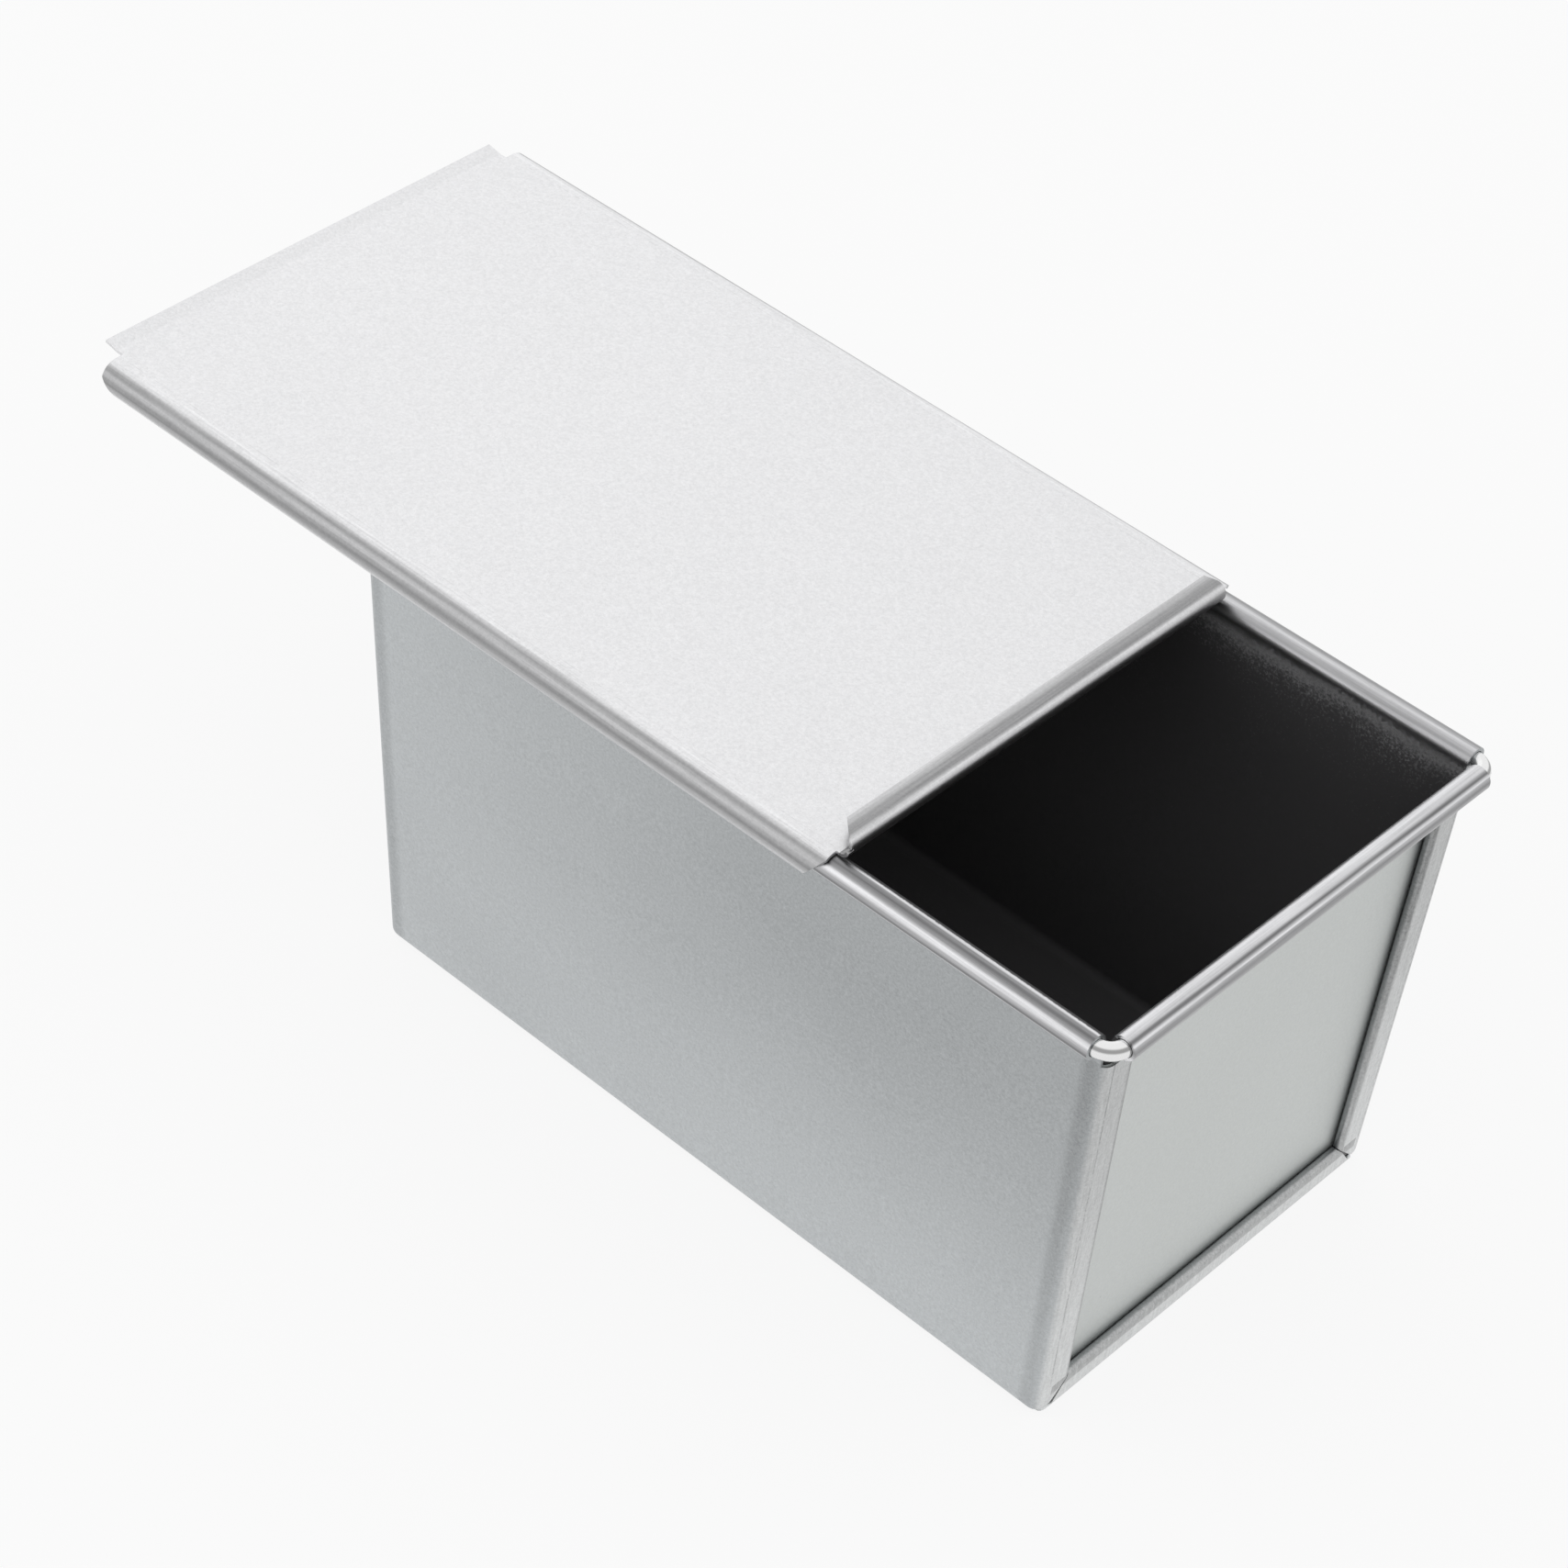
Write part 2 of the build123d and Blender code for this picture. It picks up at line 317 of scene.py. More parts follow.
@dataclass
class FoldingBar:
    """Folds a row of edges step by step, in the upright plane along the pan."""

    work: Workpiece
    edges: list[BMEdge]
    spot: Vector
    heading: float

    def aim(self, degrees: float) -> Vector:
        """Unit vector in the folding plane, from +X towards +Z."""
        return Vector((math.cos(math.radians(degrees)), 0.0, math.sin(math.radians(degrees))))

    def run(self, length: float, rows: int = 1) -> None:
        """Go straight on.

        Args:
            length: How far.
            rows: How many rows of faces that takes.
        """
        for _ in range(rows):
            step = self.aim(self.heading) * (length / rows)
            self.edges = self.work.pull(self.edges, step)
            self.spot = self.spot + step

    def bend(self, turn: float, radius: float, steps: int) -> None:
        """Turn on an arc.

        Args:
            turn: Degrees, positive towards the left of the heading.
            radius: The arc's radius.
            steps: How many rows of faces it takes.
        """
        side = self.heading + math.copysign(90.0, turn)
        centre = self.spot + self.aim(side) * radius
        self.edges = self.work.curl(self.edges, centre, Vector((0, 1, 0)), -turn, steps)
        self.heading += turn
        self.spot = centre - self.aim(side + turn) * radius


def thicken(piece: bpy.types.Object, coated: bool) -> None:
    """Give a sheet its thickness behind its faces, and round its cut edges.

    Args:
        piece: The sheet.
        coated: Whether the far side takes the piece's second finish.
    """
    wall = piece.modifiers.new("thickness", "SOLIDIFY")
    wall.thickness = PAN.sheet
    wall.offset = -1.0
    wall.use_even_offset = True
    wall.material_offset = 1 if coated else 0
    soft = piece.modifiers.new("cut_edges", "BEVEL")
    soft.width = EDGE_ROUND
    soft.segments = EDGE_STEPS
    soft.limit_method = "ANGLE"
    soft.angle_limit = SHARP_TURN
    flats = piece.modifiers.new("flat_faces", "WEIGHTED_NORMAL")
    flats.mode = "FACE_AREA"


def settle(piece: bpy.types.Object, node: str, body: Body) -> None:
    """Put a piece on its body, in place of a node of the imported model.

    Args:
        piece: The piece.
        node: The node that it stands for.
        body: The body that it moves with.
    """
    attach(piece, body.value)
    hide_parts(node)
    log.info("%s: %d faces on %s", piece.name, len(piece.data.polygons), body.value)


class Graph:
    """Short calls that add and link the nodes of one material or node group."""

    def __init__(self, tree: bpy.types.NodeTree) -> None:
        """Start on an empty tree.

        Args:
            tree: The node tree that the nodes are added to.
        """
        self.tree = tree
        tree.nodes.clear()

    def add(self, kind: str, **settings: object) -> bpy.types.Node:
        """Add a node.

        Args:
            kind: The node's type name.
            settings: Attributes to set on it.

        Returns:
            The new node.
        """
        node = self.tree.nodes.new(kind)
        for name, value in settings.items():
            setattr(node, name, value)
        return node

    def feed(self, node: bpy.types.Node, **inputs: object) -> bpy.types.Node:
        """Link sockets, or set plain values, on a node's named inputs.

        Args:
            node: The node to feed.
            inputs: Input names, with an underscore for each space, and what goes in.

        Returns:
            The same node.
        """
        for name, value in inputs.items():
            self.put(value, node.inputs[name.replace("_", " ")])
        return node

    def put(self, value: object, socket: bpy.types.NodeSocket) -> None:
        """Link a socket into another, or set a plain value on it.

        Args:
            value: An output socket or a plain value.
            socket: The input that takes it.
        """
        if isinstance(value, bpy.types.NodeSocket):
            self.tree.links.new(value, socket)
        else:
            socket.default_value = value

    def math(self, operation: str, *values: object, clamp: bool = False) -> bpy.types.NodeSocket:
        """Add a Math node.

        Args:
            operation: The node's operation.
            values: Up to three sockets or numbers.
            clamp: Whether the result is kept from 0 to 1.

        Returns:
            The result socket.
        """
        node = self.add("ShaderNodeMath", operation=operation, use_clamp=clamp)
        for value, socket in zip(values, node.inputs):
            self.put(value, socket)
        return node.outputs[0]

    def times(self, first: object, second: object) -> bpy.types.NodeSocket:
        """Product of two values."""
        return self.math("MULTIPLY", first, second)

    def plus(self, first: object, second: object, clamp: bool = False) -> bpy.types.NodeSocket:
        """Sum of two values."""
        return self.math("ADD", first, second, clamp=clamp)

    def minus(self, first: object, second: object) -> bpy.types.NodeSocket:
        """The first value less the second."""
        return self.math("SUBTRACT", first, second)

    def centred(self, noise: bpy.types.NodeSocket) -> bpy.types.NodeSocket:
        """A noise brought to 0 on average."""
        return self.minus(noise, NOISE_MEAN)

    def darker(self, tone: object, mask: object, loss: float) -> bpy.types.NodeSocket:
        """A tone or height that loses a set amount under a mask."""
        return self.minus(tone, self.times(mask, loss))

    def fall(self, value: object, low: object, high: object) -> bpy.types.NodeSocket:
        """1 up to a value, easing down to 0 at another."""
        return self.ramp(value, low, high, 1.0, 0.0)

    def stretch(self, vector: bpy.types.NodeSocket, scale: Scale) -> bpy.types.NodeSocket:
        """Multiply a vector by a scale along each axis.

        Args:
            vector: The socket to scale.
            scale: The factor along X, Y and Z.

        Returns:
            The scaled vector's socket.
        """
        node = self.add("ShaderNodeVectorMath", operation="MULTIPLY")
        self.put(vector, node.inputs[0])
        self.put(scale, node.inputs[1])
        return node.outputs[0]

    def noise(
        self, vector: object, scale: object, detail: float = 2.0, rough: float = 0.5
    ) -> bpy.types.NodeSocket:
        """Add a noise texture.

        Args:
            vector: Where it is read.
            scale: How fine it is, in cycles per metre.
            detail: How many finer layers it has.
            rough: How strong the finer layers are.

        Returns:
            Its value socket, about 0.5 on average.
        """
        node = self.add("ShaderNodeTexNoise")
        self.feed(node, Vector=vector, Scale=scale, Detail=detail, Roughness=rough)
        return node.outputs["Fac"]

    def ramp(self, value: object, low: object, high: object, to_low: object = 0.0, to_high: object = 1.0,
             smooth: bool = True) -> bpy.types.NodeSocket:
        """Map a value from one range to another, held at its ends.

        Args:
            value: What is mapped.
            low: Where the result is to_low.
            high: Where the result is to_high.
            to_low: The result at low.
            to_high: The result at high.
            smooth: Whether the change eases in and out.

        Returns:
            The result socket.
        """
        kind = "SMOOTHSTEP" if smooth else "LINEAR"
        node = self.add("ShaderNodeMapRange", interpolation_type=kind)
        for value_in, socket in zip((value, low, high, to_low, to_high), node.inputs):
            self.put(value_in, socket)
        return node.outputs["Result"]

    def hump(self, value: object, middle: float, half: float, soft: float) -> bpy.types.NodeSocket:
        """1 around a value and 0 away from it.

        Args:
            value: What is tested.
            middle: Where it is 1.
            half: How far from there it stays 1.
            soft: How far the fall takes.

        Returns:
            The mask's socket.
        """
        away = self.math("ABSOLUTE", self.math("SUBTRACT", value, middle))
        return self.ramp(away, half, half + soft, 1.0, 0.0)

    def bands(self, degrees: bpy.types.NodeSocket, stops: Stops) -> bpy.types.NodeSocket:
        """A tone that changes with the turn round a fold, for painted reflection stripes.

        Args:
            degrees: The turn in degrees, from -90 to 270.
            stops: Turns and tones, a tone up to 1.

        Returns:
            The tone's socket.
        """
        share = self.ramp(degrees, LOWEST_TURN, LOWEST_TURN + FULL_TURN, smooth=False)
        node = self.add("ShaderNodeValToRGB")
        node.color_ramp.interpolation = "EASE"
        points = node.color_ramp.elements
        while len(points) < len(stops):
            points.new(0.5)
        for point, (turn, tone) in zip(points, stops):
            point.position = (turn - LOWEST_TURN) / FULL_TURN
            point.color = (tone, tone, tone, 1.0)
        self.put(share, node.inputs[0])
        return node.outputs[0]

    def tint(self, colour: Tone, factor: bpy.types.NodeSocket) -> bpy.types.NodeSocket:
        """Scale a colour by a factor.

        Args:
            colour: The colour.
            factor: The factor's socket.

        Returns:
            The scaled colour's socket.
        """
        node = self.add("ShaderNodeVectorMath", operation="SCALE")
        self.put(colour[:3], node.inputs[0])
        self.put(factor, node.inputs["Scale"])
        return node.outputs[0]

    def mix(self, share: object, first: object, second: object) -> bpy.types.NodeSocket:
        """Mix two colours.

        Args:
            share: How much of the second shows.
            first: A colour or socket.
            second: A colour or socket.

        Returns:
            The mixed colour's socket.
        """
        node = self.add("ShaderNodeMix", data_type="RGBA")
        self.put(share, node.inputs[0])
        self.put(first, node.inputs[6])
        self.put(second, node.inputs[7])
        return node.outputs[2]

    def where_masked(self, mask: bpy.types.NodeSocket, tone: bpy.types.NodeSocket) -> bpy.types.NodeSocket:
        """A tone where a mask is 1, and 1 elsewhere.

        Args:
            mask: The mask.
            tone: The tone.

        Returns:
            The result socket.
        """
        return self.math("MULTIPLY_ADD", self.math("SUBTRACT", tone, 1.0), mask, 1.0)

    def seen(self) -> bpy.types.NodeSocket:
        """1 for rays from the camera, and for those that metal or glass shows it.

        Returns:
            The mask's socket.
        """
        path = self.add("ShaderNodeLightPath").outputs
        shown = self.math("MAXIMUM", path["Is Camera Ray"], path["Is Glossy Ray"])
        return self.math("MAXIMUM", shown, path["Is Transmission Ray"])

    def place(self) -> tuple[bpy.types.NodeSocket, ...]:
        """Object coordinates, whole and as their three parts.

        Returns:
            The vector's socket, then those of X, Y and Z.
        """
        where = self.add("ShaderNodeTexCoord").outputs["Object"]
        parts = self.feed(self.add("ShaderNodeSeparateXYZ"), Vector=where)
        return where, parts.outputs[0], parts.outputs[1], parts.outputs[2]

    def group(self, tree: bpy.types.NodeTree, **inputs: object) -> bpy.types.Node:
        """Place a node group and feed it.

        Args:
            tree: The group's tree.
            inputs: As for feed.

        Returns:
            The group node.
        """
        node = self.add("ShaderNodeGroup", node_tree=tree)
        return self.feed(node, **inputs)

    def bump(self, height: bpy.types.NodeSocket, strength: float, depth: float) -> bpy.types.NodeSocket:
        """Add a bump.

        Args:
            height: The relief, from 0 to 1.
            strength: How much of it shows.
            depth: The relief's full depth.

        Returns:
            The normal's socket.
        """
        node = self.add("ShaderNodeBump")
        return self.feed(node, Strength=strength, Distance=depth, Height=height).outputs[0]

    def surface(self, **inputs: object) -> None:
        """Finish a material with one Principled shader.

        Args:
            inputs: As for feed.
        """
        shader = self.feed(self.add("ShaderNodeBsdfPrincipled"), **inputs)
        self.put(shader.outputs[0], self.add("ShaderNodeOutputMaterial").inputs["Surface"])


def new_material(name: str) -> tuple[bpy.types.Material, Graph]:
    """Start a material.

    Args:
        name: Its name.

    Returns:
        The material and its empty graph.
    """
    material = bpy.data.materials.new(name)
    material.use_nodes = True
    return material, Graph(material.node_tree)


def new_group(
    name: str, inputs: dict[str, float | None], outputs: Iterable[str]
) -> tuple[Graph, dict[str, bpy.types.NodeSocket], bpy.types.Node]:
    """Start a shader node group with named sockets.

    Args:
        name: The group's name.
        inputs: Each input's name and default: a number, or None for a vector.
        outputs: The names of its outputs, all plain values.

    Returns:
        The graph to build in, the input sockets by name, and the output node.
    """
    tree = bpy.data.node_groups.new(name, "ShaderNodeTree")
    graph = Graph(tree)
    for label, default in inputs.items():
        kind = "NodeSocketVector" if default is None else "NodeSocketFloat"
        socket = tree.interface.new_socket(name=label, in_out="INPUT", socket_type=kind)
        if default is not None:
            socket.default_value = default
    for label in outputs:
        tree.interface.new_socket(name=label, in_out="OUTPUT", socket_type="NodeSocketFloat")
    entry = graph.add("NodeGroupInput")
    given = {socket.name: socket for socket in entry.outputs if socket.name}
    return graph, given, graph.add("NodeGroupOutput")


class Effects:
    """The node groups that more than one finish uses."""

    def __init__(self) -> None:
        """Build each group once."""
        self.grain = self.make_grain()
        self.streaks = self.make_streaks()
        self.bead_turn = self.make_bead_turn()
        self.coating = self.make_coating()
        self.crease = self.make_crease()

    @staticmethod
    def make_grain() -> bpy.types.NodeTree:
        """Fine speckle of the satin skin, slow clouds under it and a few dark specks.

        Returns:
            A group with Tone, a factor about 1 for the colour, and Height for a bump.
        """
        inputs = {"Vector": None, "Fineness": 1500.0, "Speckle": 0.1, "Cloud": 0.04, "Specks": 0.2}
        graph, given, result = new_group("satin_grain", inputs, ("Tone", "Height"))
        where, fineness = given["Vector"], given["Fineness"]
        finer, finer_share = 2.7, 0.7
        cloud_scale, cell_scale, patch_scale = 21.0, 70.0, 33.0
        spot_edge, patch_edge = (0.014, 0.030), (0.52, 0.56)
        coarse = graph.noise(where, fineness, detail=2.0, rough=0.6)
        fine = graph.noise(where, graph.times(fineness, finer), detail=1.0, rough=0.5)
        speckle = graph.plus(coarse, graph.times(graph.centred(fine), finer_share))
        cloud = graph.noise(where, cloud_scale, detail=3.0, rough=0.55)
        cells = graph.feed(graph.add("ShaderNodeTexVoronoi"), Vector=where, Scale=cell_scale)
        some = graph.ramp(graph.noise(where, patch_scale), *patch_edge)
        speck = graph.times(graph.fall(cells.outputs["Distance"], *spot_edge), given["Specks"])
        light = graph.times(graph.centred(speckle), given["Speckle"])
        slow = graph.times(graph.centred(cloud), given["Cloud"])
        even = graph.plus(1.0, graph.plus(light, slow))
        graph.put(graph.minus(even, graph.times(speck, some)), result.inputs["Tone"])
        graph.put(speckle, result.inputs["Height"])
        return graph.tree

    @staticmethod
    def make_streaks() -> bpy.types.NodeTree:
        """Long fine rub marks: the vector comes in already squeezed along them.

        Returns:
            A group with Marks, from 0 to 1, and Wander, slow and about 0.
        """
        inputs = {"Vector": None, "Fineness": 2200.0}
        graph, given, result = new_group("rub_marks", inputs, ("Marks", "Wander"))
        wander_scale, contrast = 420.0, (0.25, 0.75)
        fine = graph.noise(given["Vector"], given["Fineness"], detail=4.0, rough=0.65)
        slow = graph.noise(given["Vector"], wander_scale)
        graph.put(graph.ramp(fine, *contrast), result.inputs["Marks"])
        graph.put(graph.centred(slow), result.inputs["Wander"])
        return graph.tree

    @staticmethod
    def make_bead_turn() -> bpy.types.NodeTree:
        """Turn round a bead's axis: 0 towards the cavity, 90 up, 180 outwards.

        Returns:
            A group with Turn in degrees, from -90 to 270.
        """
        graph, given, result = new_group("bead_turn", {"Inward": 0.0, "Rise": 0.0}, ("Turn",))
        raw = graph.math("DEGREES", graph.math("ARCTAN2", given["Rise"], given["Inward"]))
        wrapped = graph.times(graph.math("LESS_THAN", raw, LOWEST_TURN), FULL_TURN)
        graph.put(graph.plus(raw, wrapped), result.inputs["Turn"])
        return graph.tree

    @staticmethod
    def make_coating() -> bpy.types.NodeTree:
        """Where the sprayed coating lies, with a grainy overspray at its edge.

        Returns:
            A group with Mask, 1 on the coating and 0 on bare metal.
        """
        inputs = {"Vector": None, "Turn": 0.0, "Limit": 30.0, "Fade": 10.0}
        graph, given, result = new_group("sprayed_coating", inputs, ("Mask",))
        fade = given["Fade"]
        droplet_scale, drift_scale, droplet_reach = 1800.0, 60.0, 3.0
        spray = graph.noise(given["Vector"], droplet_scale, detail=3.0, rough=0.7)
        drift = graph.noise(given["Vector"], drift_scale)
        grain = graph.times(graph.centred(spray), graph.times(fade, droplet_reach))
        swing = graph.times(graph.centred(drift), fade)
        past = graph.minus(graph.plus(given["Turn"], graph.plus(grain, swing)), given["Limit"])
        graph.put(graph.fall(past, graph.times(fade, -1.0), fade), result.inputs["Mask"])
        return graph.tree

    @staticmethod
    def make_crease() -> bpy.types.NodeTree:
        """A faint broken line, such as a bending tool's edge leaves.

        Returns:
            A group with Line, 1 on the line and 0 off it.
        """
        inputs = {"Vector": None, "Offset": 0.0, "Width": 0.12 * MM, "Breaks": 0.5}
        graph, given, result = new_group("tool_line", inputs, ("Line",))
        wear_scale, wear_edge = 260.0, (-0.08, 0.10)
        line = graph.fall(graph.math("ABSOLUTE", given["Offset"]), 0.0, given["Width"])
        wear = graph.noise(given["Vector"], wear_scale, detail=3.0, rough=0.7)
        shown = graph.ramp(graph.minus(wear, given["Breaks"]), *wear_edge)
        graph.put(graph.times(line, shown), result.inputs["Line"])
        return graph.tree


@dataclass(frozen=True)
class SheetGrain:
    """How strongly the satin skin of one sheet is speckled."""

    speckle: float
    cloud: float
    specks: float
    bump: float

    def add(self, graph: Graph, effects: Effects, where: bpy.types.NodeSocket) -> bpy.types.Node:
        """Place the grain group.

        Args:
            graph: The material's graph.
            effects: The shared effects.
            where: Object coordinates.

        Returns:
            The group node, with Tone and Height.
        """
        strengths = {"Speckle": self.speckle, "Cloud": self.cloud, "Specks": self.specks}
        return graph.group(effects.grain, Vector=where, **strengths)


@dataclass(frozen=True)
class LidFinish:
    """The pale speckled skin of the lid, rubbed where it is folded, with painted reflection stripes along
    the hooks and the finger roll.
    """

    colour: Tone = (0.775, 0.775, 0.785, 1.0)
    roughness: float = 0.44
    grain: SheetGrain = SheetGrain(0.30, 0.03, 0.05, 0.35)
    hook_axis: tuple[float, float] = (57.15 * MM, 110.25 * MM)
    roll_axis: tuple[float, float] = (33.5 * MM, 115.8 * MM)
    roll_starts: float = 29.0 * MM
    roll_foot: float = 33.3 * MM
    roll_clear: float = 115.0 * MM
    crease_inset: float = 1.0 * MM
    hook_wander: float = 22.0
    roll_wander: float = 26.0
    rub: float = 0.22
    crease_shade: float = 0.16
    smoother_fold: float = 0.1
    relief: float = 0.06 * MM
    # Painted reflection stripes, with some wear, by the turn round each hook and round the finger roll.
    hook_reflection_and_wear_bands: Stops = (
        (110.0, BRIGHT), (130.0, DARK), (150.0, MIDDLE), (170.0, DARK), (190.0, MIDDLE), (210.0, BRIGHT),
    )
    roll_reflection_and_wear_bands: Stops = (
        (20.0, DARK), (50.0, PALE), (80.0, DARK), (120.0, DARK), (150.0, MIDDLE), (170.0, BRIGHT),
    )

    def build(self, effects: Effects) -> bpy.types.Material:
        """Make the material.

        Args:
            effects: The shared effects.

        Returns:
            The material.
        """
        material, graph = new_material("lid_steel")
        where, x, y, z = graph.place()
        grain = self.grain.add(graph, effects, where)
        across = graph.math("ABSOLUTE", y)
        drawn = graph.group(effects.streaks, Vector=graph.stretch(where, ALONG_X)).outputs
        rolled = graph.group(effects.streaks, Vector=graph.stretch(where, ALONG_Y)).outputs

        inward = graph.minus(self.hook_axis[0], across)
        rise = graph.minus(z, self.hook_axis[1])
        hook_turn = graph.group(effects.bead_turn, Inward=inward, Rise=rise).outputs["Turn"]
        hook_turn = graph.math("MULTIPLY_ADD", drawn["Wander"], self.hook_wander, hook_turn)
        on_hook = graph.math("GREATER_THAN", across, self.hook_axis[0])
        # Painted reflection and wear stripes on the hooks, and on the roll below.
        hook_reflection_and_wear = graph.where_masked(on_hook, graph.bands(hook_turn, self.hook_reflection_and_wear_bands))

        back = graph.minus(x, self.roll_axis[0])
        up = graph.minus(z, self.roll_axis[1])
        roll_turn = graph.group(effects.bead_turn, Inward=back, Rise=up).outputs["Turn"]
        roll_turn = graph.math("MULTIPLY_ADD", rolled["Wander"], self.roll_wander, roll_turn)
        started = graph.math("GREATER_THAN", x, self.roll_starts)
        clear = graph.times(started, graph.math("GREATER_THAN", z, self.roll_clear))
        on_roll = graph.math("MAXIMUM", clear, graph.math("GREATER_THAN", x, self.roll_foot))
        roll_reflection_and_wear = graph.where_masked(on_roll, graph.bands(roll_turn, self.roll_reflection_and_wear_bands))

        folded = graph.plus(on_hook, on_roll, clamp=True)
        marks = graph.plus(graph.times(on_hook, drawn["Marks"]), graph.times(on_roll, rolled["Marks"]))
        rub = graph.times(graph.minus(marks, graph.times(folded, NOISE_MEAN)), self.rub)
        offset = graph.minus(across, self.hook_axis[0] - self.crease_inset)
        line = graph.group(effects.crease, Vector=where, Offset=offset).outputs["Line"]
        tone = graph.times(hook_reflection_and_wear, roll_reflection_and_wear)
        tone = graph.times(tone, graph.plus(grain.outputs["Tone"], rub))
        tone = graph.darker(tone, line, self.crease_shade)
        graph.surface(
            Base_Color=graph.tint(self.colour, tone),
            Metallic=1.0,
            Roughness=graph.ramp(folded, 0.0, 1.0, self.roughness, self.roughness - self.smoother_fold),
            Normal=graph.bump(grain.outputs["Height"], self.grain.bump, self.relief),
        )
        return material


@dataclass(frozen=True)
class WallFinish:
    """The outside of the wrapper: cool satin walls, seams marked by the seaming rollers, and painted shade.
    """

    # Painted shade: walls and seams are the lid's metal, set darker than the lid's colour, the walls most.
    colour: Tone = (0.535, 0.555, 0.565, 1.0)
    seam_colour: Tone = (0.67, 0.68, 0.68, 1.0)
    roughness: float = 0.43
    grain: SheetGrain = SheetGrain(0.36, 0.09, 0.35, 0.3)
    painted_bend_shade: float = 0.16
    painted_top_shade: float = 0.24
    painted_hem_shade: float = 0.34
    line_shade: float = 0.14
    dot_shade: float = 0.30
    brush_rub: float = 0.16
    smoother_seam: float = 0.05
    relief: float = 0.06 * MM
    knurl_relief: float = 2.2
    dot_relief: float = 1.6
    seam_depth: Span = (0.3 * MM, 1.6 * MM)
    knurl_scale: float = 1500.0
    knurl_squeeze: Scale = (1.0, 1.0, 0.8)
    roller_line: float = 2.8 * MM
    roller_edge: Span = (2.5 * MM, 3.0 * MM)
    dot_squeeze: Scale = (1.0, 1.0, 3.0)
    dot_width: float = 0.28 * MM
    dot_breaks: float = 0.44
    bend_depth: float = 3.3 * MM
    bend_half: float = 0.3 * MM
    bend_soft: float = 2.6 * MM
    bend_inset: Span = (0.1 * MM, 1.2 * MM)
    floor_line: float = 3.5 * MM
    floor_line_width: float = 0.14 * MM
    shade_height: float = 95.0 * MM
    shade_run: Span = (-110.0 * MM, 40.0 * MM)
    foot_hem: Span = (4.6 * MM, 5.3 * MM)
    side_hem: Span = (7.2 * MM, 8.3 * MM)
    hems_meet: Span = (7.4 * MM, 7.6 * MM)
    hem_depth: Span = (2.5 * MM, 2.7 * MM)
    hem_inset: float = 3.5 * MM

    def build(self, effects: Effects) -> bpy.types.Material:
        """Make the material.

        Args:
            effects: The shared effects.

        Returns:
            The material.
        """
        material, graph = new_material("wall_steel")
        where, x, y, z = graph.place()
        grain = self.grain.add(graph, effects, where)
        face_at = graph.math("MULTIPLY_ADD", z, PAN.end_slope, PAN.floor_half_length)
        depth = graph.minus(face_at, graph.math("ABSOLUTE", x))
        wall_at = graph.math("MULTIPLY_ADD", z, PAN.wall_slope, PAN.floor_half_width)
        inset = graph.minus(wall_at, graph.math("ABSOLUTE", y))
        below_rim = graph.math("LESS_THAN", z, PAN.seam_top + MM)
        on_seam = graph.times(graph.fall(depth, *self.seam_depth), below_rim)
        on_upright = graph.times(on_seam, graph.math("GREATER_THAN", z, PAN.foot_seam_height))

        knobs = graph.add("ShaderNodeTexVoronoi")
        graph.feed(knobs, Vector=graph.stretch(where, self.knurl_squeeze), Scale=self.knurl_scale)
        inside_line = graph.ramp(inset, *self.roller_edge)
        knurl = graph.times(graph.times(on_upright, inside_line), knobs.outputs["Distance"])
        brushed = graph.group(effects.streaks, Vector=graph.stretch(where, ALONG_Z)).outputs["Marks"]
        dots = graph.group(
            effects.crease,
            Vector=graph.stretch(where, self.dot_squeeze),
            Offset=graph.minus(inset, self.roller_line),
            Width=self.dot_width,
            Breaks=self.dot_breaks,
        ).outputs["Line"]
        dots = graph.times(dots, on_upright)

        # Painted shade beside the corner bends.
        bend = graph.hump(depth, self.bend_depth, self.bend_half, self.bend_soft)
        bend = graph.times(graph.times(bend, below_rim), graph.fall(inset, *self.bend_inset))
        offset = graph.minus(z, self.floor_line)
        low_line = graph.group(effects.crease, Vector=where, Offset=offset, Width=self.floor_line_width)
        low_line = graph.times(low_line.outputs["Line"], graph.minus(1.0, on_seam))
        # Painted shade, growing with height and towards the near end.
        high = graph.times(graph.ramp(z, 0.0, self.shade_height), graph.ramp(x, *self.shade_run))
        # Painted shade on the seams' rounded inner edges.
        hem = graph.times(self.hems(graph, z, depth, inset), below_rim)

        tone = graph.darker(grain.outputs["Tone"], high, self.painted_top_shade)
        tone = graph.darker(tone, bend, self.painted_bend_shade)
        tone = graph.darker(tone, low_line, self.line_shade)
        tone = graph.darker(tone, dots, self.dot_shade)
        tone = graph.darker(tone, hem, self.painted_hem_shade)
        tone = graph.plus(tone, graph.times(graph.centred(brushed), graph.times(on_seam, self.brush_rub)))
        height = graph.plus(grain.outputs["Height"], graph.times(knurl, self.knurl_relief))
        height = graph.darker(height, dots, self.dot_relief)
        graph.surface(
            Base_Color=graph.mix(on_seam, graph.tint(self.colour, tone), graph.tint(self.seam_colour, tone)),
            Metallic=1.0,
            Roughness=graph.ramp(on_seam, 0.0, 1.0, self.roughness, self.roughness - self.smoother_seam),
            Normal=graph.bump(height, self.grain.bump, self.relief),
        )
        return material

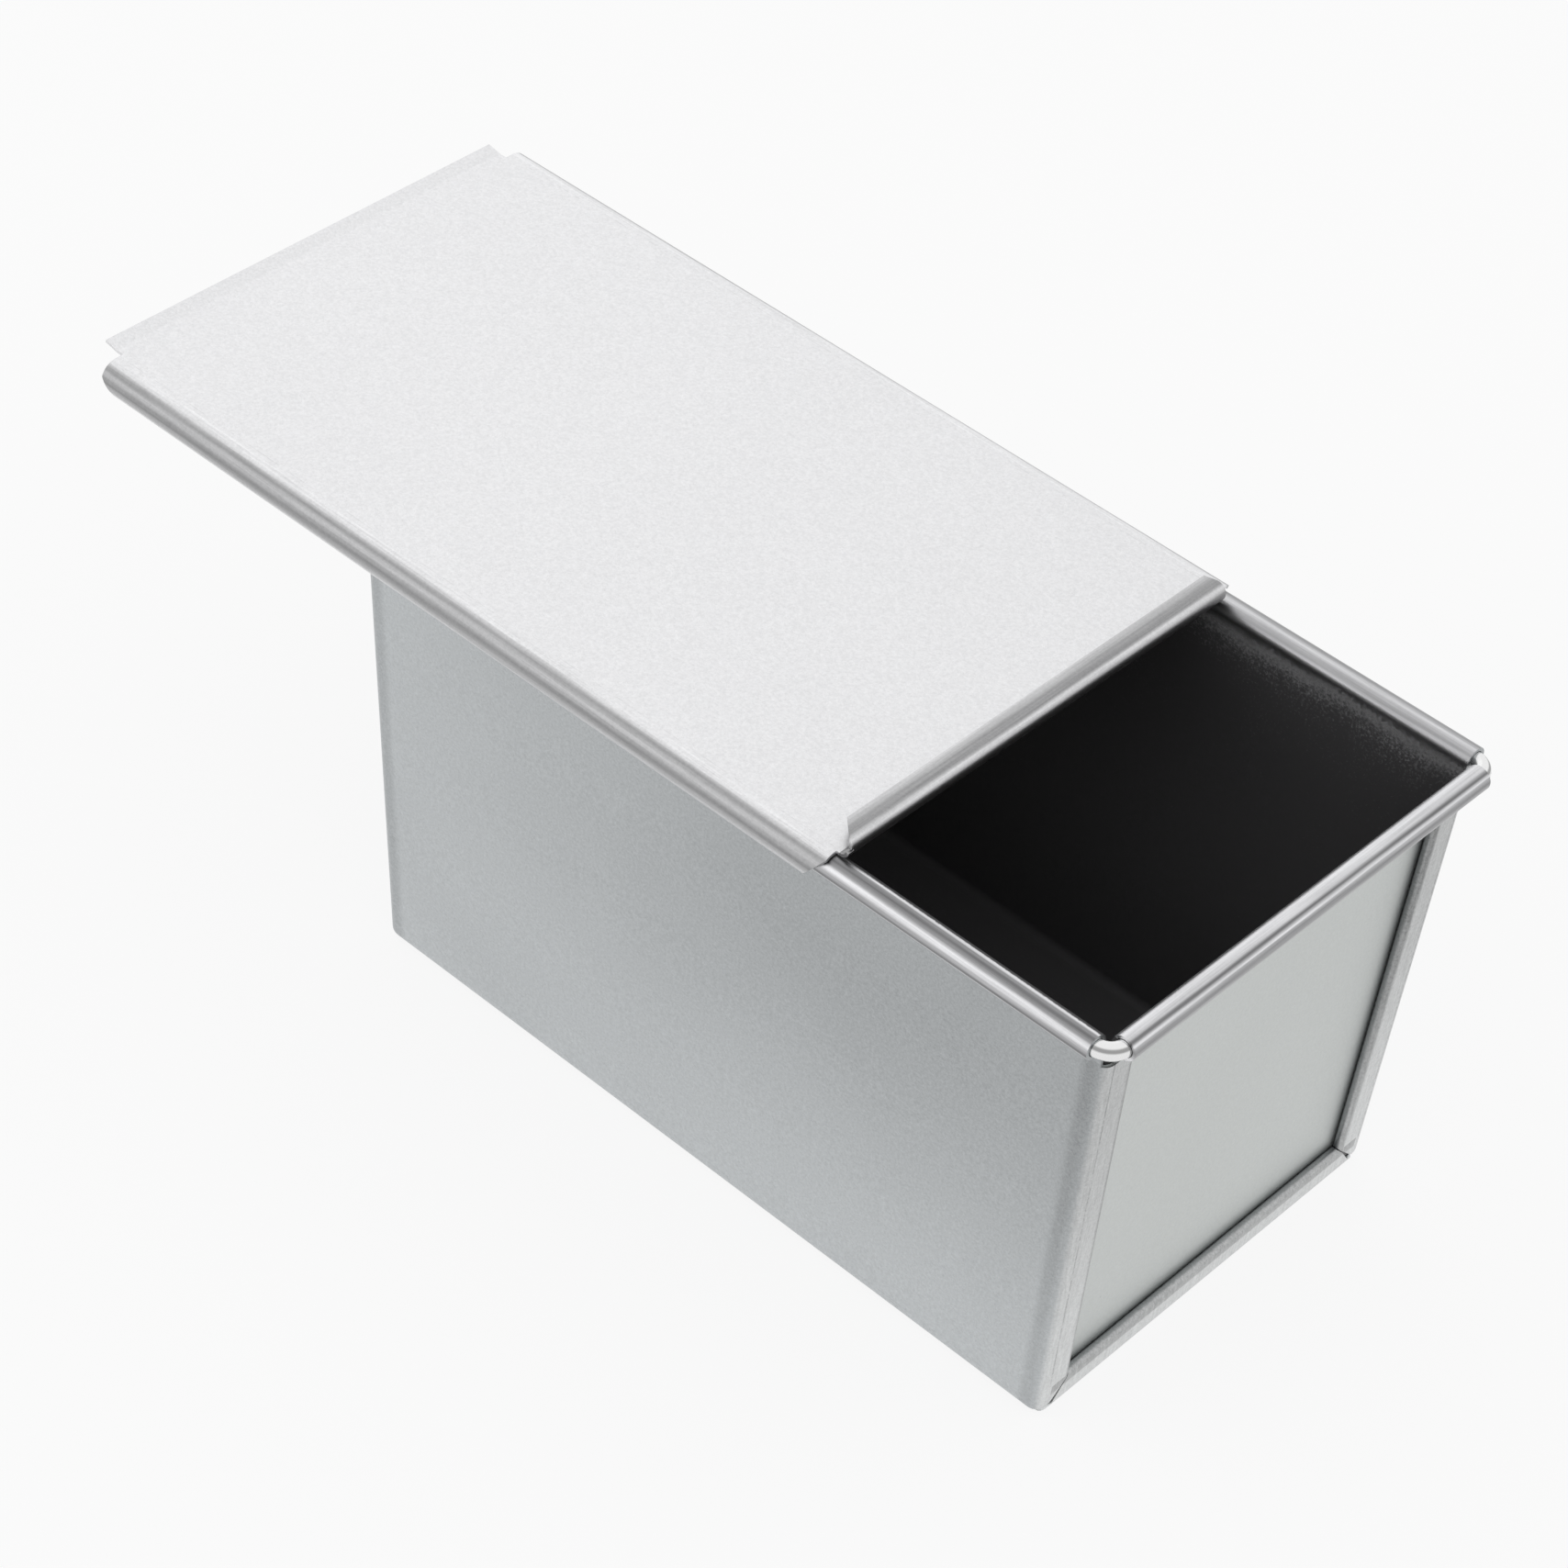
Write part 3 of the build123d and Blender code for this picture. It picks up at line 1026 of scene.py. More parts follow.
    def hems(
        self, graph: Graph, z: bpy.types.NodeSocket, depth: bpy.types.NodeSocket, inset: bpy.types.NodeSocket
    ) -> bpy.types.NodeSocket:
        """Where the seams' rounded inner edges turn away from the light, for painted shade.

        Args:
            graph: The material's graph.
            z: The height.
            depth: How far behind the seam's face a place lies.
            inset: How far inside the long wall's face it lies.

        Returns:
            The mask's socket.
        """
        foot = graph.times(graph.ramp(z, *self.foot_hem), graph.fall(z, *self.hems_meet))
        side = graph.times(graph.ramp(inset, *self.side_hem), graph.ramp(z, *self.hems_meet))
        hem = graph.times(graph.math("MAXIMUM", side, foot), graph.fall(depth, *self.hem_depth))
        return graph.times(hem, graph.math("GREATER_THAN", inset, self.hem_inset))


@dataclass(frozen=True)
class PanelFinish:
    """The outside of an end panel: even satin with a faint green cast, its colour set darker as painted
    shade.
    """

    # Painted shade: the same metal as the lid, set darker than the lid's colour.
    colour: Tone = (0.61, 0.63, 0.62, 1.0)
    roughness: float = 0.45
    grain: SheetGrain = SheetGrain(0.16, 0.05, 0.12, 0.25)
    relief: float = 0.05 * MM

    def build(self, effects: Effects) -> bpy.types.Material:
        """Make the material.

        Args:
            effects: The shared effects.

        Returns:
            The material.
        """
        material, graph = new_material("panel_steel")
        where = graph.place()[0]
        grain = self.grain.add(graph, effects, where)
        graph.surface(
            Base_Color=graph.tint(self.colour, grain.outputs["Tone"]),
            Metallic=1.0,
            Roughness=self.roughness,
            Normal=graph.bump(grain.outputs["Height"], self.grain.bump, self.relief),
        )
        return material


@dataclass(frozen=True)
class CoatedFinish:
    """The coated side of a sheet: dark satin in the pan, painted lighter towards the floor, and bare rubbed
    metal on the bead it ends in, with painted reflection stripes round the bead.
    """

    name: str
    run: Run
    limits: tuple[float, float]
    fades: tuple[float, float]
    # Painted reflection and wear stripes round the bead, for the side below 0 and for the other.
    bands: tuple[Stops, Stops]
    coating: Tone = (0.055, 0.054, 0.056, 1.0)
    # Painted light: how many times lighter the coating is set towards the pan's floor.
    floor_painted_light: float = 2.2
    metal: Tone = (0.74, 0.74, 0.755, 1.0)
    coating_roughness: float = 0.48
    metal_roughness: float = 0.33
    grain: SheetGrain = SheetGrain(0.10, 0.04, 0.0, 0.3)
    painted_light_heights: Span = (30.0 * MM, 100.0 * MM)
    wander: float = 24.0
    rub: float = 0.3
    rub_relief: float = 0.6
    relief: float = 0.04 * MM

    def build(self, effects: Effects) -> bpy.types.Material:
        """Make the material.

        Args:
            effects: The shared effects.

        Returns:
            The material.
        """
        material, graph = new_material(self.name)
        where, x, y, z = graph.place()
        grain = self.grain.add(graph, effects, where)
        lengthwise = self.run is Run.ALONG
        beside = y if lengthwise else x
        axis = PAN.rim_half_width if lengthwise else PAN.rim_half_length
        squeeze = ALONG_X if lengthwise else ALONG_Y
        streaks = graph.group(effects.streaks, Vector=graph.stretch(where, squeeze)).outputs
        inward = graph.minus(axis, graph.math("ABSOLUTE", beside))
        rise = graph.minus(z, PAN.rim_height)
        turn = graph.group(effects.bead_turn, Inward=inward, Rise=rise).outputs["Turn"]
        positive = graph.math("GREATER_THAN", beside, 0.0)
        limit = graph.ramp(positive, 0.0, 1.0, *self.limits, smooth=False)
        fade = graph.ramp(positive, 0.0, 1.0, *self.fades, smooth=False)
        mask = graph.group(effects.coating, Vector=where, Turn=turn, Limit=limit, Fade=fade).outputs["Mask"]
        wandering = graph.math("MULTIPLY_ADD", streaks["Wander"], self.wander, turn)
        first = graph.bands(wandering, self.bands[0])
        second = graph.bands(wandering, self.bands[1])
        tone = graph.ramp(positive, 0.0, 1.0, first, second, smooth=False)
        rub = graph.times(graph.centred(streaks["Marks"]), self.rub)
        tone = graph.times(tone, graph.plus(grain.outputs["Tone"], rub))
        height = graph.plus(grain.outputs["Height"], graph.times(streaks["Marks"], self.rub_relief))
        # The coating's colour, painted lighter towards the pan's floor.
        sprayed = graph.tint(self.coating, graph.ramp(z, *self.painted_light_heights, self.floor_painted_light, 1.0))
        graph.surface(
            Base_Color=graph.mix(mask, graph.tint(self.metal, tone), sprayed),
            Metallic=graph.minus(1.0, mask),
            Roughness=graph.ramp(mask, 0.0, 1.0, self.metal_roughness, self.coating_roughness, smooth=False),
            Normal=graph.bump(height, self.grain.bump, self.relief),
        )
        return material


# Painted reflection stripes, with some wear, by the turn round each rim bead.
LEFT_BEAD_REFLECTION_AND_WEAR: Stops = (
    (80.0, BRIGHT), (90.0, DARK), (110.0, DEEP), (130.0, DARK),
    (150.0, BRIGHT), (170.0, MIDDLE), (190.0, DEEP), (210.0, BRIGHT),
)
RIGHT_BEAD_REFLECTION_AND_WEAR: Stops = (
    (0.0, PALE), (10.0, BRIGHT), (40.0, DARK), (60.0, MIDDLE), (80.0, PALE), (110.0, DARK), (200.0, PALE),
)
END_BEAD_REFLECTION_AND_WEAR: Stops = (
    (30.0, PALE), (60.0, BRIGHT), (100.0, PALE), (120.0, DEEP),
    (140.0, BRIGHT), (150.0, MIDDLE), (170.0, DARK), (200.0, MIDDLE), (220.0, BRIGHT),
)


@dataclass(frozen=True)
class WireFinish:
    """Bright drawn wire, with painted reflection stripes by the height round it."""

    colour: Tone = (0.82, 0.82, 0.82, 1.0)
    roughness: float = 0.15
    rougher_rub: float = 0.08
    bump: float = 0.12
    relief: float = 0.02 * MM
    # Painted reflection stripes, by how far up the wire's round a place lies.
    tones: Stops = (
        (-90.0, MIDDLE), (-10.0, BRIGHT), (20.0, BRIGHT), (35.0, DARK), (45.0, DARK), (60.0, BRIGHT),
    )

    def build(self, effects: Effects) -> bpy.types.Material:
        """Make the material.

        Args:
            effects: The shared effects.

        Returns:
            The material.
        """
        material, graph = new_material("bright_wire")
        where, _, _, z = graph.place()
        marks = graph.group(effects.streaks, Vector=where).outputs["Marks"]
        level = graph.math("DIVIDE", graph.minus(z, PAN.rim_height), PAN.wire_radius)
        level = graph.ramp(level, -1.0, 1.0, -1.0, 1.0, smooth=False)
        climb = graph.math("DEGREES", graph.math("ARCSINE", level))
        graph.surface(
            Base_Color=graph.tint(self.colour, graph.bands(climb, self.tones)),
            Metallic=1.0,
            Roughness=graph.ramp(marks, 0.0, 1.0, self.roughness, self.roughness + self.rougher_rub),
            Normal=graph.bump(marks, self.bump, self.relief),
        )
        return material


@dataclass
class SlidingLid:
    """The hooked lid sheet with its finger roll and its turned-up far strip."""

    top: float = 114.35 * MM
    near_end: float = 32.8 * MM
    far_end: float = -171.7 * MM
    hook_side: float = 57.15 * MM
    hook_radius: float = 4.1 * MM
    hook_turn: float = 190.0
    hook_slant: float = 38.0
    far_square: float = 2.1 * MM
    roll_left: float = -56.6 * MM
    roll_right: float = 54.5 * MM
    roll_foot_run: float = 1.0 * MM
    roll_foot_radius: float = 1.15 * MM
    roll_rise: float = 0.28 * MM
    roll_top_radius: float = 1.45 * MM
    roll_top_turn: float = 102.0
    roll_tail: float = 3.3 * MM
    corner_cut_from: float = 115.8 * MM
    strip_side: float = 55.2 * MM
    strip_flat: float = 1.6 * MM
    strip_turn: float = 12.0
    strip_radius: float = 3.0 * MM
    strip_run: float = 3.3 * MM
    columns: int = 40
    rows: int = 24
    hook_steps: int = 20
    roll_foot_steps: int = 8
    roll_top_steps: int = 10
    strip_steps: int = 3

    def build(self, finish: bpy.types.Material) -> bpy.types.Object:
        """Fold the lid.

        Args:
            finish: Its skin.

        Returns:
            The lid.
        """
        work = Workpiece()
        self.lay_flat(work)
        self.turn_hooks(work)
        self.turn_roll(work)
        self.turn_strip(work)
        work.weld()
        work.face_out(lambda spot: near(spot.z, self.top), Vector((0, 0, 1)))
        piece = work.finish("hooked_lid", [finish])
        thicken(piece, coated=False)
        settle(piece, "sliding_lid", Body.LID)
        return piece

    def lay_flat(self, work: Workpiece) -> None:
        """Start with the flat sheet, cut where the folded edges begin."""
        length = self.near_end - self.far_end
        middle = Matrix.Translation(Vector(((self.near_end + self.far_end) / 2, 0, self.top)))
        size = Matrix.Diagonal((length / 2, self.hook_side, 1, 1))
        bmesh.ops.create_grid(
            work.shape, x_segments=self.columns, y_segments=self.rows, size=1.0, matrix=middle @ size
        )
        for side in (self.roll_left, self.roll_right, self.strip_side, -self.strip_side):
            work.part(work.shape.faces, Vector((0, side, 0)), Vector((0, 1, 0)))

    def turn_hooks(self, work: Workpiece) -> None:
        """Turn down the hook on each long side and cut back its lower corners."""
        axis_height = self.top - self.hook_radius
        under = self.top - PAN.sheet
        slant = math.radians(self.hook_slant)
        near_cut = Vector((math.cos(slant), 0, -math.sin(slant)))
        far_cut = Vector((-math.cos(slant), 0, -math.sin(slant)))
        for side in (1, -1):
            edges = work.edges(lambda spot: near(spot.y, side * self.hook_side))
            centre = Vector((0, side * self.hook_side, axis_height))
            work.curl(edges, centre, Vector((1, 0, 0)), -side * self.hook_turn, self.hook_steps)
            on_hook = lambda spot: side * spot.y > 0 and (
                side * spot.y > self.hook_side or spot.z < axis_height)
            near_corner = Vector((self.near_end, 0, under))
            far_corner = Vector((self.far_end, 0, under - self.far_square))
            work.part(work.faces(on_hook), near_corner, near_cut, drop=True)
            work.part(work.faces(on_hook), far_corner, far_cut, drop=True)

    def turn_roll(self, work: Workpiece) -> None:
        """Turn the near edge up into the open finger roll and cut its left top corner off."""
        left, right = self.roll_left - CLOSE, self.roll_right + CLOSE
        edges = work.edges(lambda spot: near(spot.x, self.near_end) and left < spot.y < right)
        bar = FoldingBar(work, edges, Vector((self.near_end, 0, self.top)), 0.0)
        bar.run(self.roll_foot_run)
        bar.bend(90.0, self.roll_foot_radius, self.roll_foot_steps)
        front = bar.spot.x + PAN.sheet
        bar.run(self.roll_rise)
        bar.bend(self.roll_top_turn, self.roll_top_radius, self.roll_top_steps)
        bar.run(self.roll_tail, 2)
        behind = self.near_end - 2 * self.roll_tail
        roll = work.faces(lambda spot: spot.z > self.corner_cut_from and spot.x > behind)
        work.part(roll, Vector((front, self.roll_left, 0)), Vector((-1, -1, 0)), drop=True)

    def turn_strip(self, work: Workpiece) -> None:
        """Turn the far edge up a little between the hooks."""
        edges = work.edges(lambda spot: near(spot.x, self.far_end) and abs(spot.y) < self.strip_side + CLOSE)
        bar = FoldingBar(work, edges, Vector((self.far_end, 0, self.top)), 180.0)
        bar.run(self.strip_flat)
        bar.bend(-self.strip_turn, self.strip_radius, self.strip_steps)
        bar.run(self.strip_run)


@dataclass
class EndPanel:
    """One end wall, folded into the seams on three sides and curled round the wire."""

    half_width: float = 53.5 * MM
    fold_setback: float = 2.8 * MM
    fold_foot: float = 1.976 * MM
    lean_out_radius: float = 6.0 * MM
    lean_out_height: float = 104.7 * MM
    plate_slack: float = 2.0 * MM
    columns: int = 24
    rows: int = 20
    lean_out_steps: int = 6

    def build(self, name: str, node: str, end: int, finishes: list[bpy.types.Material]) -> bpy.types.Object:
        """Fold the panel.

        Args:
            name: The piece's name.
            node: The node that it stands for.
            end: 1 for the end at +X, -1 for the other.
            finishes: The coated side's finish and the outside's.

        Returns:
            The panel.
        """
        work = Workpiece()
        self.fold_up(work)
        self.narrow(work)
        self.fold_sides(work)
        if end < 0:
            bmesh.ops.scale(work.shape, vec=(-1, 1, 1), verts=work.shape.verts[:])
        work.weld()
        middle = self.lean_out_height / 2
        inside = end * (PAN.seam_face(middle) - PAN.fold_depth)
        work.face_out(lambda spot: (
            near(spot.z, middle, middle / 2)
            and near(spot.x, inside, self.plate_slack)
            and near(spot.y, 0, middle / 2)
        ), Vector((-end, 0, 0)))
        piece = work.finish(name, finishes)
        thicken(piece, coated=True)
        settle(piece, node, Body.PAN)
        return piece

    def fold_up(self, work: Workpiece) -> None:
        """Fold foot, plate, lean-out bend and rim curl as one strip, on its coated face."""
        lean = math.atan(PAN.end_slope)
        radius = PAN.hem_radius * math.cos(lean)
        start = Vector((PAN.seam_face(PAN.hem_height) - PAN.layer, 0, PAN.hem_height))
        corner = Vector((PAN.seam_face(self.lean_out_height) - PAN.fold_depth, 0, self.lean_out_height))
        wire = Vector((PAN.rim_half_length, 0, PAN.rim_height))
        to_wire = (wire - corner).length
        lean_out = math.atan2(wire.x - corner.x, wire.z - corner.z) - math.asin(PAN.bead_radius / to_wire)
        tangent = self.lean_out_radius * math.tan((lean_out - lean) / 2)
        ends = [work.shape.verts.new(start + Vector((0, side * self.half_width, 0))) for side in (-1, 1)]
        edge = work.shape.edges.new(ends)
        bmesh.ops.subdivide_edges(work.shape, edges=[edge], cuts=self.columns - 1)
        bar = FoldingBar(work, work.shape.edges[:], start, -90.0 - math.degrees(lean))
        bar.run((PAN.hem_height - self.fold_foot) / math.cos(lean))
        bar.bend(-180.0, radius, HEM_STEPS)
        bar.run((self.lean_out_height - bar.spot.z) / math.cos(lean) - tangent, self.rows)
        bar.bend(-math.degrees(lean_out - lean), self.lean_out_radius, self.lean_out_steps)
        bar.run(math.sqrt(to_wire**2 - PAN.bead_radius**2) - tangent)
        bar.bend(-PAN.curl_turn, PAN.bead_radius, CURL_STEPS)

    def narrow(self, work: Workpiece) -> None:
        """Trim the panel under the rim to the width between its side folds."""
        work.part(work.shape.faces, Vector((0, 0, PAN.seam_top)), Vector((0, 0, 1)))
        for side in (1, -1):
            low = work.faces(lambda spot: spot.z < PAN.seam_top)
            at = Vector((0, side * (PAN.floor_half_width - self.fold_setback), 0))
            work.part(low, at, Vector((0, side, -PAN.wall_slope)), drop=True)

    def fold_sides(self, work: Workpiece) -> None:
        """Fold each side outwards and back, inside the upright seams."""
        lap = PAN.side_seam_width - PAN.hem_radius - self.fold_setback
        for side in (1, -1):
            edges = work.edges(lambda spot: (
                near(spot.x, PAN.seam_face(spot.z) - PAN.fold_depth, 0.1 * MM)
                and near(side * spot.y, PAN.wall_side(spot.z) - self.fold_setback, 0.05 * MM)
                and PAN.corner_radius < spot.z < PAN.seam_top + CLOSE
            ))
            axis = Vector((PAN.end_slope, side * PAN.wall_slope, 1.0))
            foot = Vector((
                PAN.floor_half_length - PAN.fold_depth + PAN.hem_radius,
                side * (PAN.floor_half_width - self.fold_setback),
                0,
            ))
            edges = work.curl(edges, foot, axis, -side * 180.0, HEM_STEPS)
            work.pull(edges, Vector((0, -side * lap, 0)))


@dataclass
class RimWire:
    """The closed wire ring inside the rim curls."""

    sides: int = 32
    corner_steps: int = 12

    def build(self, finish: bpy.types.Material) -> bpy.types.Object:
        """Bend the wire.

        Args:
            finish: The wire's finish.

        Returns:
            The ring.
        """
        work = Workpiece()
        straight_x = PAN.rim_half_length - PAN.wire_corner_radius
        straight_y = PAN.rim_half_width - PAN.wire_corner_radius
        start = Vector((0, -PAN.rim_half_width, PAN.rim_height))
        turned = Matrix.Translation(start) @ Matrix.Rotation(math.radians(90), 4, "Y")
        bmesh.ops.create_circle(work.shape, segments=self.sides, radius=PAN.wire_radius, matrix=turned)
        edges = work.pull(work.shape.edges[:], Vector((straight_x, 0, 0)))
        corners = ((1, -1, Vector((0, 1, 0))), (1, 1, Vector((-1, 0, 0))),
                   (-1, 1, Vector((0, -1, 0))), (-1, -1, Vector((1, 0, 0))))
        for index, (to_x, to_y, ahead) in enumerate(corners):
            centre = Vector((to_x * straight_x, to_y * straight_y, PAN.rim_height))
            edges = work.curl(edges, centre, Vector((0, 0, 1)), 90.0, self.corner_steps)
            length = 2 * straight_y if ahead.y else 2 * straight_x
            share = 0.5 if index == len(corners) - 1 else 1.0
            edges = work.pull(edges, ahead * length * share)
        work.weld()
        bmesh.ops.recalc_face_normals(work.shape, faces=work.shape.faces[:])
        piece = work.finish("rim_ring", [finish])
        settle(piece, "rim_wire", Body.PAN)
        return piece


@dataclass
class BodySheet:
    """The wrapper: floor, long walls, rim curls and the outer layers of the end seams.

    One quarter is folded on its outer face and mirrored twice.
    """

    corner_segments: int = 8

    def build(self, finishes: list[bpy.types.Material]) -> bpy.types.Object:
        """Fold the wrapper.

        Args:
            finishes: The outside's finish and the coated side's.

        Returns:
            The wrapper.
        """
        work = Workpiece()
        self.block_out(work)
        self.cut_window(work)
        self.slit_mitre(work)
        self.turn_hems(work)
        self.curl_rim(work)
        work.weld()
        work.mirror("X")
        work.mirror("Y")
        work.weld()
        middle = PAN.floor_half_width / 2
        work.face_out(lambda spot: near(spot.z, 0.0) and abs(spot.y) < middle, Vector((0, 0, -1)))
        piece = work.finish("folded_body", finishes)
        thicken(piece, coated=True)
        settle(piece, "body_sheet", Body.PAN)
        return piece

    @staticmethod
    def on_end(spot: Vector) -> bool:
        """Whether a place is on the flat outer face of the end's seams."""
        return near(spot.x, PAN.seam_face(spot.z), ON_PLANE)

    def block_out(self, work: Workpiece) -> None:
        """Make the leaning, rounded outer form as high as the seams, and keep its +X +Y quarter."""
        bmesh.ops.create_cube(work.shape, size=2.0)
        for vert in work.shape.verts:
            height = PAN.seam_top if vert.co.z > 0 else 0.0
            vert.co.x = math.copysign(PAN.seam_face(height), vert.co.x)
            vert.co.y = math.copysign(PAN.wall_side(height), vert.co.y)
            vert.co.z = height
        top_face = work.faces(lambda spot: near(spot.z, PAN.seam_top))
        bmesh.ops.delete(work.shape, geom=top_face, context="FACES_ONLY")
        bmesh.ops.bevel(
            work.shape,
            geom=[edge for edge in work.shape.edges if not edge.is_boundary],
            offset=PAN.corner_radius,
            offset_type="OFFSET",
            segments=self.corner_segments,
            profile=0.5,
            affect="EDGES",
            material=-1,
            clamp_overlap=False,
        )
        work.part(work.shape.faces, Vector(), Vector((-1, 0, 0)), drop=True)
        work.part(work.shape.faces, Vector(), Vector((0, -1, 0)), drop=True)

    def cut_window(self, work: Workpiece) -> None:
        """Open the end inside the seam frame, as far as the axes of the hems."""
        at_side = Vector((0, PAN.hem_side(0), 0))
        work.part(work.faces(self.on_end), at_side, Vector((0, 1, -PAN.wall_slope)))
        work.part(work.faces(self.on_end), Vector((0, 0, PAN.hem_height)), Vector((0, 0, 1)))
        work.remove(
            lambda spot: self.on_end(spot) and spot.y < PAN.hem_side(spot.z) and spot.z > PAN.hem_height
        )

    def slit_mitre(self, work: Workpiece) -> None:
        """Slit the lower corner at 45 degrees, and tighten the bend of the foot side of it."""
        shift = PAN.mitre_slit / math.sqrt(2)
        bend_start = PAN.floor_half_length - PAN.corner_radius
        at_end = lambda spot: spot.x > bend_start
        for limit in (PAN.mitre_sum - shift, PAN.mitre_sum + shift):
            work.part(work.faces(at_end), Vector((0, limit, 0)), Vector((0, 1, 1)))
        slit_from = PAN.floor_half_length - PAN.foot_radius
        work.part(work.faces(at_end), Vector((slit_from, 0, 0)), Vector((1, 0, 0)))
        work.remove(lambda spot: spot.x > slit_from and near(spot.y + spot.z, PAN.mitre_sum, shift))
        tighter = PAN.foot_radius / PAN.corner_radius
        for vert in work.shape.verts:
            spot = vert.co
            on_foot = spot.y + spot.z < PAN.mitre_sum - shift + CLOSE and spot.z < PAN.corner_radius + CLOSE
            if on_foot and spot.x > bend_start - CLOSE:
                spot.x = PAN.floor_half_length + (spot.x - PAN.floor_half_length) * tighter
                spot.z *= tighter

    def turn_hems(self, work: Workpiece) -> None:
        """Turn each seam's inner edge back on itself, mitred where the hems meet."""
        shift = PAN.mitre_slit / math.sqrt(2)
        lean = math.atan(PAN.end_slope)
        lap = PAN.side_seam_width - PAN.hem_radius - PAN.corner_radius
        foot = Vector((PAN.floor_half_length - PAN.hem_radius, PAN.hem_side(0), 0))
        before = set(work.shape.faces)
        edges = work.edges(lambda spot: (
            near(spot.y, PAN.hem_side(spot.z)) and spot.z > PAN.hem_height and self.on_end(spot)
        ))
        edges = work.curl(edges, foot, PAN.upright, -180.0, HEM_STEPS)
        work.pull(edges, Vector((0, lap, 0)))
        hem = [face for face in work.shape.faces if face not in before]
        work.part(hem, Vector((0, PAN.mitre_sum + shift, 0)), Vector((0, -1, -1)), drop=True)

        before = set(work.shape.faces)
        edges = work.edges(lambda spot: (
            near(spot.z, PAN.hem_height) and self.on_end(spot) and spot.y < PAN.hem_side(spot.z) + MM
        ))
        start = Vector((PAN.seam_face(PAN.hem_height), 0, PAN.hem_height))
        bar = FoldingBar(work, edges, start, 90.0 - math.degrees(lean))
        bar.bend(180.0, PAN.hem_radius * math.cos(lean), HEM_STEPS)
        bar.run(PAN.hem_height - PAN.hem_radius - PAN.layer)
        hem = [face for face in work.shape.faces if face not in before]
        work.part(hem, Vector((0, PAN.mitre_sum - shift, 0)), Vector((0, 1, 1)), drop=True)

    def curl_rim(self, work: Workpiece) -> None:
        """Take the long wall on up and curl it round the wire."""
        lean = math.atan(PAN.wall_slope)
        rise = PAN.rim_height + PAN.curl_radius * math.sin(lean) - PAN.seam_top
        edges = work.edges(
            lambda spot: near(spot.z, PAN.seam_top) and near(spot.y, PAN.wall_side(PAN.seam_top), ON_PLANE)
        )
        far_x = max(vert.co.x for edge in edges for vert in edge.verts)
        edges = work.pull(edges, Vector((0, rise * PAN.wall_slope, rise)))
        axis = Vector((0, PAN.rim_half_width, PAN.rim_height))
        work.curl(edges, axis, Vector((1, 0, 0)), -PAN.curl_turn, CURL_STEPS)
        end_rows = work.edges(lambda spot: near(spot.x, far_x, ON_PLANE) and spot.z > PAN.seam_top - CLOSE)
        reach = PAN.rim_half_length - PAN.curl_setback - far_x
        work.pull(end_rows, Vector((reach, 0, 0)))


